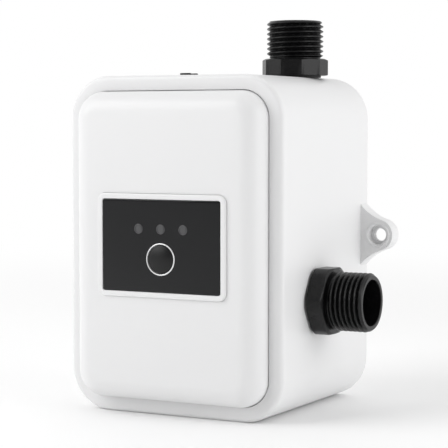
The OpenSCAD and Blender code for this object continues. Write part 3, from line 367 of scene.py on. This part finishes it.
cover = Skin()
for profile in ([(0, SKIRT)] + shoulder_profile(0),
                [(COVER_WALL, SKIRT)] + shoulder_profile(COVER_WALL),
                [(0, SKIRT), (COVER_WALL, SKIRT)]):
    cover.sheet(framed_rings(COVER_WIDE, COVER_HIGH, COVER_CORNER, profile))
face_loop = soft_rectangle(COVER_WIDE - 2 * SHOULDER, COVER_HIGH - 2 * SHOULDER,
                           COVER_CORNER - SHOULDER)
pocket_loop = soft_rectangle(PANEL_WIDE + 2 * POCKET_PLAY, PANEL_HIGH + 2 * POCKET_PLAY,
                             PANEL_CORNER + POCKET_PLAY)
window_loop = soft_rectangle(PANEL_WIDE - 2 * WINDOW, PANEL_HIGH - 2 * WINDOW,
                             PANEL_CORNER - PANEL_RIM)
cover.sheet(np.stack([standing(face_loop, FACE),
                      standing(pocket_loop, FACE, PANEL_MIDDLE),
                      standing(pocket_loop, FACE + POCKET, PANEL_MIDDLE),
                      standing(window_loop, FACE + POCKET, PANEL_MIDDLE),
                      standing(window_loop, FACE + COVER_WALL, PANEL_MIDDLE),
                      standing(face_loop, FACE + COVER_WALL)]))
cover.piece("cover_shell", "housing", "white_shell", ["front_cover"])

# %% [markdown]
# ## The control frame
# A thin white frame holds the black plate. It is a profile of a few tenths of a millimetre
# with softened edges, carried round the same kind of rectangle.

# %% Control frame
PANEL_RISE = 0.9
PLATE_SUNK, PLATE_THICK = 0.2, 1.3
FRAME_FRONT = FACE - PANEL_RISE
FRAME_FOOT = FACE + POCKET
PLATE_FRONT = FRAME_FRONT + PLATE_SUNK
PLATE_BACK = PLATE_FRONT + PLATE_THICK
SOFT, INNER_SOFT = 0.5, 0.3


def panel_rings(profile):
    """Carries a profile of (inset, depth) round the outline of the control panel."""
    return framed_rings(PANEL_WIDE, PANEL_HIGH, PANEL_CORNER, profile, PANEL_MIDDLE, 12)


outer_edge = [(SOFT - a, d) for a, d in arc((0, FRAME_FRONT + SOFT), SOFT, 0, -90, 6)]
window_edge = [(PANEL_RIM - INNER_SOFT + a, d)
               for a, d in arc((0, FRAME_FRONT + INNER_SOFT), INNER_SOFT, -90, 0, 4)]
outside = [(0, FRAME_FOOT), (0, FRAME_FRONT + SOFT)]
inside = [(PANEL_RIM, PLATE_BACK), (WINDOW, PLATE_BACK), (WINDOW, FRAME_FOOT), (0, FRAME_FOOT)]
control_frame = Skin()
control_frame.sheet(panel_rings(outside + outer_edge + window_edge + inside))
control_frame.piece("control_frame", "housing", "white_shell", ["bezel_frame"])

# %% [markdown]
# ## The black plate
# The plate is a sheet of glossy black plastic with one hole for the button's ring and three
# for the lights. Its edge is eased a little, which draws the thin dark line along the frame.
# The face is filled between its outline and the holes, and each hole gets its own wall.

# %% Plate
BUTTON_Z, BUTTON_R = 56.6, 5.0
RING_WIDE, RING_CLEAR, RING_PLAY = 0.55, 0.2, 0.05
LIGHT_Z, LIGHT_STEP, LIGHT_R, LIGHT_PLAY = 67.1, 8.95, 1.75, 0.05
EASE, PLATE_PLAY, HOLE_STEPS = 0.2, 0.1, 72
LIGHTS_ACROSS = [k * LIGHT_STEP for k in (-1, 0, 1)]
RING_HOLE = BUTTON_R + RING_CLEAR + RING_WIDE
PLATE_HOLES = ([(RING_HOLE, (0, BUTTON_Z))]
               + [(LIGHT_R + LIGHT_PLAY, (x, LIGHT_Z)) for x in LIGHTS_ACROSS])
plate_inset = PANEL_RIM + PLATE_PLAY
plate_edge = [(plate_inset + EASE - a, d) for a, d in arc((0, PLATE_FRONT + EASE), EASE, 0, -90, 4)]

plate = Skin()
plate_side = [(plate_inset, PLATE_BACK), (plate_inset, PLATE_FRONT + EASE)]
plate.sheet(panel_rings(plate_side + plate_edge))
for inset, depth in ((plate_inset + EASE, PLATE_FRONT), (plate_inset, PLATE_BACK)):
    plate.flat(panel_rings([(inset, depth)])[0],
               [hoop(radius, centre, depth, HOLE_STEPS) for radius, centre in PLATE_HOLES])
for radius, centre in PLATE_HOLES:
    plate.sheet(np.stack([hoop(radius, centre, PLATE_FRONT, HOLE_STEPS),
                          hoop(radius, centre, PLATE_BACK, HOLE_STEPS)]))
plate.piece("control_glass", "housing", "gloss_black", ["control_plate"])

# %% [markdown]
# ## The button and its ring
# Both are turned shapes. The cap is a shallow dome with a soft rim, a flange behind the plate
# and a stem that reaches the switch. The ring is a bright band with a rounded front. A dome
# could also be a scaled sphere, but the formula keeps the crown's height exact.

# %% Button
BUTTON_UP, CROWN, CAP_SOFT = 0.3, 0.5, 0.35
FLANGE_CLEAR, CAP_FLANGE, CAP_FLANGE_R = 0.3, 0.8, 6.3
STEM_R, STEM_END = 1.5, -40.6
BUTTON_FOOT = PLATE_BACK + FLANGE_CLEAR
dome_radius = (BUTTON_R ** 2 + CROWN ** 2) / (2 * CROWN)
dome_foot = BUTTON_UP + CROWN - dome_radius
dome = [(r, dome_foot + math.sqrt(dome_radius ** 2 - r ** 2))
        for r in np.linspace(0, BUTTON_R - CAP_SOFT, 14)]
cap_edge = [(BUTTON_R - CAP_SOFT + a, b)
            for a, b in arc((0, dome[-1][1] - CAP_SOFT), CAP_SOFT, 80, 0, 5)]
flange_top = PLATE_FRONT - BUTTON_FOOT
flange_low, stem_low = flange_top - CAP_FLANGE, PLATE_FRONT - STEM_END
cap = Skin()
cap.sheet(facing(turned(dome + cap_edge
                        + [(BUTTON_R, flange_top), (CAP_FLANGE_R, flange_top),
                           (CAP_FLANGE_R, flange_low), (STEM_R, flange_low),
                           (STEM_R, stem_low), (0.0, stem_low)]),
                 (0, PLATE_FRONT, BUTTON_Z)))
cap.piece("button_cap", "button", "button_black", ["power_button"])

# %% Ring
ring_inner, ring_outer = BUTTON_R + RING_CLEAR, RING_HOLE - RING_PLAY
half = (ring_outer - ring_inner) / 2
ring_front = [(ring_inner + half - a, b) for a, b in arc((0, PLATE_SUNK - half), half, 0, 180)]
band = Skin()
band.sheet(facing(turned([(ring_inner, -PLATE_THICK)] + ring_front
                         + [(ring_outer, -PLATE_THICK), (ring_inner, -PLATE_THICK)]),
                  (0, PLATE_FRONT, BUTTON_Z)))
band.piece("button_band", "housing", "ring", ["button_ring"])

# %% [markdown]
# ## The return spring
# Out of sight behind the cap, a wire spring leans on the board and pushes the cap back. It is
# a circle of wire carried along a helix.

# %% Spring
BOARD_SUNK, TRAVEL = 1.4, 0.8
BOARD_FRONT = FRONT + BOARD_SUNK
SPRING_R, WIRE, SPRING_TURNS = 5.0, 0.25, 5
COIL_STEPS, WIRE_SIDES = 24, 8


def helix(front, back):
    """Coil radius plus wire radius times the cosine round the wire, turned by the winding; the
    depth runs evenly from front to back, plus wire radius times the sine round the wire."""
    share = np.linspace(0, 1, COIL_STEPS * SPRING_TURNS + 1)[:, None]
    around = np.linspace(0, 2 * math.pi, WIRE_SIDES, endpoint=False)[None, :]
    wind, reach = 2 * math.pi * SPRING_TURNS * share, SPRING_R + WIRE * np.cos(around)
    depth = front + WIRE + (back - front - 2 * WIRE) * share + WIRE * np.sin(around)
    return np.stack([reach * np.cos(wind), depth, BUTTON_Z + reach * np.sin(wind)], -1)


spring_front = BUTTON_FOOT + CAP_FLANGE
spring_long = BOARD_FRONT - spring_front
coil = helix(spring_front, BOARD_FRONT)
spring = Skin()
spring.sheet(coil)
spring.flat(coil[0])
spring.flat(coil[-1])
return_spring = spring.piece("return_spring", "housing", "steel", ["button_spring"])
1 - TRAVEL / spring_long
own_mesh(return_spring)

# %% [markdown]
# ## The lights
# Each light is a small lens with a faint groove and a low rim round it, and a light pipe that
# runs back to the board. It is one profile, turned three times along the row. A rim of this
# size could be left to bump, but as real form it also catches light from the side.

# %% Lights
DISC_R, DISC_SUNK = 1.2, 0.05
GROOVE_IN, GROOVE_OUT, GROOVE_DEEP = 1.24, 1.36, 0.2
RIM_IN, RIM_CREST, RIM_UP = 1.42, 1.5, 0.05
COLLAR_R, COLLAR_THICK, PIPE_R, PIPE_LONG = 2.3, 0.6, 1.5, 8.3
collar_back = -PLATE_THICK - COLLAR_THICK
lens_front = [(0.0, -0.04), (DISC_R, -DISC_SUNK), (GROOVE_IN, -GROOVE_DEEP),
              (GROOVE_OUT, -GROOVE_DEEP), (RIM_IN, 0.0), (RIM_CREST, RIM_UP),
              (LIGHT_R - 0.12, 0.04), (LIGHT_R - 0.04, 0.0), (LIGHT_R, -0.06)]
lens_back = [(LIGHT_R, -PLATE_THICK), (COLLAR_R, -PLATE_THICK), (COLLAR_R, collar_back),
             (PIPE_R, collar_back), (PIPE_R, -PIPE_LONG), (0.0, -PIPE_LONG)]
lights = Skin()
for x in LIGHTS_ACROSS:
    lights.sheet(facing(turned(lens_front + lens_back, 48), (x, PLATE_FRONT, LIGHT_Z)))
lights.piece("light_lenses", "housing", "grey_lens", ["indicator_lenses"])

# %% [markdown]
# ## The threaded spouts
# Both spouts carry the parallel half inch pipe thread. The solids have closed rings; a real
# thread climbs. Here the radius is a function of two parameters, the turn round the axis and
# the height: the thread's profile is read at height over pitch minus the share of a turn, so
# its crest moves up one pitch each time round. The flange is a polygon whose front corners
# are cut by a shallow cone, which gives the curved chamfer lines of a turned nut.

# %% Thread
CREST, PITCH, THREAD_DEEP, THREAD_LONG = 10.4775, 1.814, 1.162, 13.9
ROOT = CREST - THREAD_DEEP
WASHER, FLANGE = 0.8, 6.1
THREAD_FOOT = WASHER + FLANGE
SPOUT_LONG = THREAD_FOOT + THREAD_LONG
CREST_FLAT, END_SLOPE, TUCK = 1 / 12, 0.6, 0.3
FADE_FROM, FADE_LONG = 0.35, 0.9
MOUTH, MOUTH_SLOPE = 1.05, 0.85


def thread_radius(turn, height):
    """Root plus depth times a rounded trapezoid of (height / pitch - turn), faded at the foot
    and cut by the cone of the mouth. The flank is the cubic from 0 to 1 with the end slope at
    both ends."""
    along = (height - THREAD_FOOT) / PITCH - turn / (2 * math.pi)
    off = np.abs(along - np.floor(along) - 0.5)
    flank = np.clip((0.5 - off) / (0.5 - CREST_FLAT), 0, 1)
    flank = flank * (END_SLOPE + (1 - END_SLOPE) * flank * (3 - 2 * flank))
    fade = np.clip((height - THREAD_FOOT - FADE_FROM) / FADE_LONG, 0, 1)
    cone = CREST - np.clip(height - (SPOUT_LONG - MOUTH), 0, None) * MOUTH_SLOPE
    return np.minimum(ROOT + THREAD_DEEP * flank * fade, cone)


def threaded_sheet(columns=168, rows=170):
    """The thread's radius on a table of turns and heights, laid round the axis."""
    turn = np.linspace(0, 2 * math.pi, columns, endpoint=False)[None, :]
    height = np.linspace(THREAD_FOOT - TUCK, SPOUT_LONG, rows)[:, None]
    radius = thread_radius(turn, height)
    return np.stack([radius * np.cos(turn), radius * np.sin(turn), height + 0 * turn], -1)


thread = threaded_sheet()
print("thread, points:", thread.shape[0] * thread.shape[1])

# %% Flange
FLANGE_EASE = 0.25
CHAMFER, CHAMFER_SLOPE, CHAMFER_ROWS = 0.6, 2, 24


def polygon_loop(sides, corner, first, soft=0.4, steps=14):
    """A polygon with small round corners: an arc at each corner, then points along each side."""
    loops = []
    half_side = 180 / sides
    inner = corner - soft / math.cos(math.radians(half_side))
    for k in range(sides):
        mid, after = first + 360 * k / sides, math.radians(first + 360 * (k + 1) / sides)
        at = math.radians(mid)
        bend = arc((inner * math.cos(at), inner * math.sin(at)), soft,
                   mid - half_side, mid + half_side, 5)
        lean = after - math.radians(half_side)
        start = np.array([inner * math.cos(after) + soft * math.cos(lean),
                          inner * math.sin(after) + soft * math.sin(lean)])
        share = np.linspace(0, 1, steps + 1)[1:-1, None]
        loops += [bend, bend[-1] + (start - bend[-1]) * share]
    return np.concatenate(loops)


def flange_sheet(loop, turned_to):
    """The polygon at each height, every point drawn in to the cone's radius where it sticks out."""
    reach = np.linalg.norm(loop, axis=1)
    eased = WASHER + FLANGE_EASE
    heights = [WASHER, eased, *np.linspace(THREAD_FOOT - 2 * CHAMFER, THREAD_FOOT, CHAMFER_ROWS)]
    rows = [np.insert(loop * 0, 2, WASHER, axis=1)]
    for height in heights:
        front_cut = max(height - (THREAD_FOOT - CHAMFER), 0) * CHAMFER_SLOPE
        limit = turned_to - max(front_cut, eased - height, 0)
        rows.append(np.insert(loop * np.minimum(1, limit / reach)[:, None], 2, height, axis=1))
    rows.append(np.insert(loop * 0, 2, THREAD_FOOT, axis=1))
    return np.stack(rows)


# %% Both spouts
BORE, MOUTH_BORE, MOUTH_LIP, MOUTH_FLAT, MOUTH_FLARE = 7.6, 8.2, 0.2, 0.25, 0.1
FLARE_FROM, FLARE_TO = 3, 7
NECK, SPOUT_FLOOR = 8.2, -0.8
EYE_R, EYE_END, SOCKET_R, SOCKET_END = 4.4, -2.2, 6.4, -12.3
INLET_AT, INLET_FLATS, INLET_TURNED = (WIDE / 2, -8, 41), 23.4, 12.6
OUTLET_AT, OUTLET_FLANGE, OUTLET_FIRST = (22.5, 15, HIGH), 12.3, 18.5


def spout(name, node, sides, corner, first, turned_to, place):
    """One spout: flange, thread, mouth, bore and the neck that passes through the housing."""
    lip = float(np.linalg.norm(thread[-1, 0, :2]))
    mouth = [(lip - MOUTH_FLAT, SPOUT_LONG), (MOUTH_BORE + MOUTH_LIP, SPOUT_LONG),
             (MOUTH_BORE, SPOUT_LONG - MOUTH_LIP),
             (MOUTH_BORE - MOUTH_FLARE, SPOUT_LONG - FLARE_FROM), (BORE, SPOUT_LONG - FLARE_TO)]
    neck = [(BORE, SPOUT_FLOOR), (EYE_R, SPOUT_FLOOR), (EYE_R, EYE_END), (SOCKET_R, EYE_END),
            (SOCKET_R, SOCKET_END), (NECK, SOCKET_END), (NECK, THREAD_FOOT - TUCK)]
    skin = Skin()
    skin.sheet(place(np.concatenate([thread, turned(mouth + neck, thread.shape[1]), thread[:1]])))
    skin.sheet(place(flange_sheet(polygon_loop(sides, corner, first), turned_to)))
    skin.piece(name, "housing", "fitting_black", [node], sharp=26)


def to_side(table):
    """Lays a spout along +X at the inlet: its own X points down."""
    return np.stack([INLET_AT[0] + table[..., 2], INLET_AT[1] + table[..., 1],
                     INLET_AT[2] - table[..., 0]], -1)


def to_top(table):
    """Stands a spout on the top at the outlet."""
    return table + np.array(OUTLET_AT)


spout("inlet_spout", "inlet_fitting", 6, INLET_FLATS / math.sqrt(3), 90, INLET_TURNED, to_side)
spout("outlet_spout", "outlet_fitting", 10, OUTLET_FLANGE, OUTLET_FIRST, OUTLET_FLANGE, to_top)

# %% [markdown]
# ## Shader sums as plain sums
# A finish varies a little over its piece. Writing each variation as a sum of wired nodes is
# slow to read, so a small class lets a socket be added to and scaled like a number.

# %% A socket that can be reckoned with
class Signal:
    """A value in a material. Adding or multiplying adds a Math node."""

    def __init__(self, finish, socket):
        self.finish, self.socket = finish, socket

    def _join(self, kind, first, second):
        return self.finish.node("ShaderNodeMath", {"operation": kind}, {0: first, 1: second})

    def __add__(self, other):
        return self._join("ADD", self, other)

    def __radd__(self, other):
        return self._join("ADD", other, self)

    def __mul__(self, other):
        return self._join("MULTIPLY", self, other)

    def __rmul__(self, other):
        return self._join("MULTIPLY", other, self)


# %% One material
class Finish:
    """One material, built round a Principled shader."""

    def __init__(self, name, **constants):
        self.material = bpy.data.materials.new(name)
        self.material.use_nodes = True
        self.tree = self.material.node_tree
        self.shader = self.tree.nodes["Principled BSDF"]
        for socket, value in constants.items():
            self.shader.inputs[socket.replace("_", " ")].default_value = value

    def node(self, kind, settings, inputs, output=0):
        """Adds a node: its settings first, then a value or a link for each named socket."""
        made = self.tree.nodes.new(kind)
        for key, value in settings.items():
            setattr(made, key, value)
        for socket, value in inputs.items():
            if isinstance(value, Signal):
                self.tree.links.new(value.socket, made.inputs[socket])
            else:
                made.inputs[socket].default_value = value
        return Signal(self, made.outputs[output])

    def place(self):
        """Object coordinates: metres in the model's own frame."""
        return self.node("ShaderNodeTexCoord", {}, {}, "Object")

    def grain(self, size, detail=2.0):
        """Noise whose blots are about size millimetres across, from 0 to 1."""
        return self.node("ShaderNodeTexNoise", {"noise_dimensions": "3D"},
                         {"Vector": self.place(), "Scale": 1 / (size * MM), "Detail": detail,
                          "Roughness": 0.55})

    def feed(self, socket, signal):
        """Links a signal to one of the shader's sockets."""
        self.tree.links.new(signal.socket, self.shader.inputs[socket])

    def shade(self, dark, light, signal):
        """A colour between two, by a signal."""
        factor, first, second, colour = 0, 6, 7, 2
        return self.node("ShaderNodeMix", {"data_type": "RGBA"},
                         {factor: signal, first: (*dark, 1), second: (*light, 1)}, colour)

    def bump(self, height, depth):
        """Tilts the surface by a height signal, depth millimetres from 0 to 1."""
        self.feed("Normal", self.node("ShaderNodeBump", {}, {"Height": height, "Strength": 1.0,
                                                             "Distance": depth * MM}))


# %% [markdown]
# ## Finishes
# Injection moulded plastic is never perfectly even: the mould leaves a very fine grain, the
# gloss wanders a little, and the colour follows it. The same recipe with other numbers makes
# the white housing, the glass filled black of the spouts and the parts inside.

# %% Moulded plastic, rubber and metal
WIDE_GRAIN, BRUSH_SCALE, BRUSH_GLOSS, BRUSH_DEEP = 18, 2500.0, 0.16, 0.002
FINISHES = {}


def moulded(name, colour, rough, grain=0.25, depth=0.004, wander=0.05, tone=0.03, **more):
    """Colour, roughness and height each follow their own noise by a small amount."""
    finish = Finish(name, **more)
    wide, fine = finish.grain(WIDE_GRAIN), finish.grain(grain, 3)
    low, high = [c * (1 - tone) for c in colour], [min(c * (1 + tone), 1) for c in colour]
    finish.feed("Base Color", finish.shade(low, high, wide * 0.5 + fine * 0.5))
    finish.feed("Roughness", wide * wander + fine * wander + (rough - wander))
    finish.bump(fine, depth)
    FINISHES[name] = finish.material


def metal(name, colour, rough, stretch=(1, 1, 1)):
    """Fine scratches drawn out along one axis, in colour and gloss."""
    finish = Finish(name, Metallic=1.0)
    spread = finish.node("ShaderNodeMapping", {}, {"Vector": finish.place(), "Scale": stretch})
    brush = finish.node("ShaderNodeTexNoise", {},
                        {"Vector": spread, "Scale": BRUSH_SCALE, "Detail": 3.0})
    finish.feed("Base Color", finish.shade([c * 0.9 for c in colour], colour, brush))
    finish.feed("Roughness", brush * BRUSH_GLOSS + (rough - BRUSH_GLOSS / 2))
    finish.bump(brush, BRUSH_DEEP)
    FINISHES[name] = finish.material


# %% [markdown]
# ## The list of finishes
# Each call is one finish: its colour as linear red, green and blue, its roughness, then the
# grain's size, its depth, how far the gloss wanders and how far the colour does. A metal
# gives the stretch of its scratches instead. A picture of real plastic could be wrapped
# round the pieces, but numbers stay sharp at any distance.

# %% Plastics that show
moulded("white_shell", (0.81, 0.81, 0.814), 0.36, 0.35, 0.0025, 0.04, 0.006)
moulded("gloss_black", (0.006, 0.0062, 0.007), 0.14, 0.6, 0.0004, 0.02, 0.05,
        Specular_IOR_Level=0.3)
moulded("grey_lens", (0.075, 0.075, 0.078), 0.22, 0.4, 0.001, 0.03)
moulded("ring", (0.9, 0.9, 0.91), 0.32, 0.3, 0.0005, 0.04, 0.02, Metallic=0.35)
moulded("button_black", (0.003, 0.003, 0.0033), 0.3, 0.25, 0.001, 0.03,
        Specular_IOR_Level=0.35)
moulded("fitting_black", (0.004, 0.004, 0.0043), 0.28, 0.18, 0.005, 0.06, 0.15,
        Specular_IOR_Level=0.3)

# %% Plastics, rubber and ceramic inside
moulded("soft_rubber", (0.018, 0.018, 0.019), 0.7, 0.3, 0.01)
moulded("board", (0.012, 0.1, 0.045), 0.35, 0.5, 0.004)
moulded("board_light", (0.65, 0.7, 0.5), 0.3)
moulded("plug_cream", (0.72, 0.67, 0.5), 0.5)
moulded("lead_red", (0.35, 0.015, 0.015), 0.45)
moulded("lead_blue", (0.02, 0.05, 0.3), 0.45)
moulded("lead_yellow", (0.55, 0.36, 0.02), 0.45)
moulded("nut_black", (0.02, 0.02, 0.021), 0.5, 0.2, 0.012, 0.08, 0.1)
moulded("pump_plastic", (0.03, 0.032, 0.035), 0.5, 0.25, 0.012, 0.08)
moulded("impeller_white", (0.7, 0.68, 0.6), 0.45)
moulded("magnet", (0.06, 0.06, 0.065), 0.4, Metallic=0.6)
moulded("carbon", (0.02, 0.02, 0.021), 0.38)
moulded("ceramic", (0.78, 0.75, 0.68), 0.12, 0.4, 0.001)
moulded("can_grey", (0.42, 0.43, 0.44), 0.45)
moulded("sensor_grey", (0.6, 0.61, 0.6), 0.42)

# %% Metals
metal("steel", (0.62, 0.63, 0.65), 0.3)
metal("core_steel", (0.35, 0.36, 0.38), 0.42, (0.02, 1, 1))
metal("copper", (0.72, 0.3, 0.13), 0.35, (1, 0.03, 0.03))
metal("bracket_steel", (0.55, 0.56, 0.58), 0.38)
print("finishes:", len(FINISHES))

# %% [markdown]
# ## Dressing the pieces
# The record names a finish for every solid, and each new piece named its own when it was
# made. The solids keep their meshes and only change their material, so nothing moves.

# %% Give every piece its finish
slot_of = {part["node"]: part["material_slot"] for part in frame["record"]["subparts"]}
for name, node in frame["nodes"].items():
    node.data.materials.clear()
    node.data.materials.append(FINISHES[slot_of[name]])
for name, slot in FINISH_OF.items():
    bpy.data.objects[name].data.materials.append(FINISHES[slot])
print("finished:", len(slot_of), "solids and", len(FINISH_OF), "new pieces")

# %% [markdown]
# ## The floor
# The pump stands on a plain pale floor. Far away the floor turns into an even white glow, so
# that no horizon shows: the share of glow is a smooth step of the distance. A curved backdrop
# would hide the horizon too, but only from the front.

# %% Floor
FLOOR_REACH, FLOOR_TONE, FLOOR_ROUGH = 6, 0.98, 0.6
GLOW_FROM, GLOW_TO = 0.08, 0.8
floor_corners = np.array([(-1, -1, 0), (1, -1, 0), (1, 1, 0), (-1, 1, 0)]) * FLOOR_REACH
floor_mesh = bpy.data.meshes.new("floor")
floor_mesh.from_pydata(floor_corners.tolist(), [], [(0, 1, 2, 3)])
floor = bpy.data.objects.new("floor", floor_mesh)
pale = Finish("floor", Roughness=FLOOR_ROUGH, Base_Color=(FLOOR_TONE, FLOOR_TONE, FLOOR_TONE, 1))
distance = pale.node("ShaderNodeVectorMath", {"operation": "LENGTH"}, {0: pale.place()}, "Value")
share = pale.node("ShaderNodeMapRange", {"interpolation_type": "SMOOTHSTEP"},
                  {"Value": distance, "From Min": GLOW_FROM, "From Max": GLOW_TO})
glow = pale.node("ShaderNodeEmission", {}, {"Color": (1, 1, 1, 1), "Strength": 1.0})
plain = Signal(pale, pale.shader.outputs["BSDF"])
mixed = pale.node("ShaderNodeMixShader", {}, {0: share, 1: plain, 2: glow})
pale.tree.links.new(mixed.socket, pale.tree.nodes["Material Output"].inputs["Surface"])
floor_mesh.materials.append(pale.material)
bpy.context.scene.collection.objects.link(floor)
print("floor, m:", 2 * FLOOR_REACH)

# %% [markdown]
# ## The lights of the studio
# Two large soft boxes stand to the left and to the right, and give the black fittings their
# long highlights. A bigger box gives softer shadows, so both are as wide as a door.

# %% Soft boxes
AIM = (0, 0, 60)
KEY_AT, KEY_SIZE, KEY_POWER = (-720, -760, 640), (900, 1000), 9.4
SIDE_AT, SIDE_SIZE, SIDE_POWER = (1100, -60, 360), (750, 700), 3.3


def soft_box(name, at, size, power):
    """A rectangular light at a place in millimetres, turned towards the aim: it tips by the
    angle whose cosine is the drop over the distance."""
    lamp = bpy.data.lights.new(name, "AREA")
    lamp.shape, lamp.size, lamp.size_y, lamp.energy = "RECTANGLE", size[0] * MM, size[1] * MM, power
    holder = bpy.data.objects.new(name, lamp)
    holder.location = [v * MM for v in at]
    way = np.array(AIM, float) - np.array(at, float)
    turn = math.atan2(way[1], way[0])
    holder.rotation_euler = (math.acos(-way[2] / np.linalg.norm(way)), 0, turn - math.pi / 2)
    bpy.context.scene.collection.objects.link(holder)
    print(name, "stands off by, mm:", round(float(np.linalg.norm(way))))


soft_box("key_left", KEY_AT, KEY_SIZE, KEY_POWER)
soft_box("side_right", SIDE_AT, SIDE_SIZE, SIDE_POWER)

# %% [markdown]
# ## The surroundings
# An even white surrounding fills the shadows, and the camera sees it as pure white. Towards
# the front it grows dark, as a real room does behind the camera, so that the black plate and
# the fittings have something dark to mirror. The share of dark is a smooth step of how far
# the direction of a ray leans to the front.

# %% Surroundings
WORLD_LIGHT, WORLD_DARK = 0.9, 0.06
DARK_WAY = (-0.15, -1.0, 0.0)
DIM_FROM, DIM_TO = 0.1, 0.8
world = bpy.data.worlds.new("studio")
bpy.context.scene.world = world
world.use_nodes = True
tree = world.node_tree
sky = tree.nodes.new("ShaderNodeTexCoord")
lean = tree.nodes.new("ShaderNodeVectorMath")
lean.operation = "DOT_PRODUCT"
lean.inputs[1].default_value = np.array(DARK_WAY) / np.linalg.norm(DARK_WAY)
dim = tree.nodes.new("ShaderNodeMapRange")
dim.interpolation_type = "SMOOTHSTEP"
for socket, value in (("From Min", DIM_FROM), ("From Max", DIM_TO),
                      ("To Min", WORLD_LIGHT), ("To Max", WORLD_DARK)):
    dim.inputs[socket].default_value = value
seen = tree.nodes.new("ShaderNodeLightPath")
strength = tree.nodes.new("ShaderNodeMix")
strength.inputs["B"].default_value = 1.0
background = tree.nodes["Background"]
background.inputs["Color"].default_value = (1, 1, 1, 1)
for source, target in ((sky.outputs["Generated"], lean.inputs[0]),
                       (lean.outputs["Value"], dim.inputs["Value"]),
                       (seen.outputs["Is Camera Ray"], strength.inputs["Factor"]),
                       (dim.outputs["Result"], strength.inputs["A"]),
                       (strength.outputs["Result"], background.inputs["Strength"])):
    tree.links.new(source, target)
bpy.context.scene.view_settings.view_transform = "Standard"
print("surroundings, brightest and darkest:", WORLD_LIGHT, WORLD_DARK)
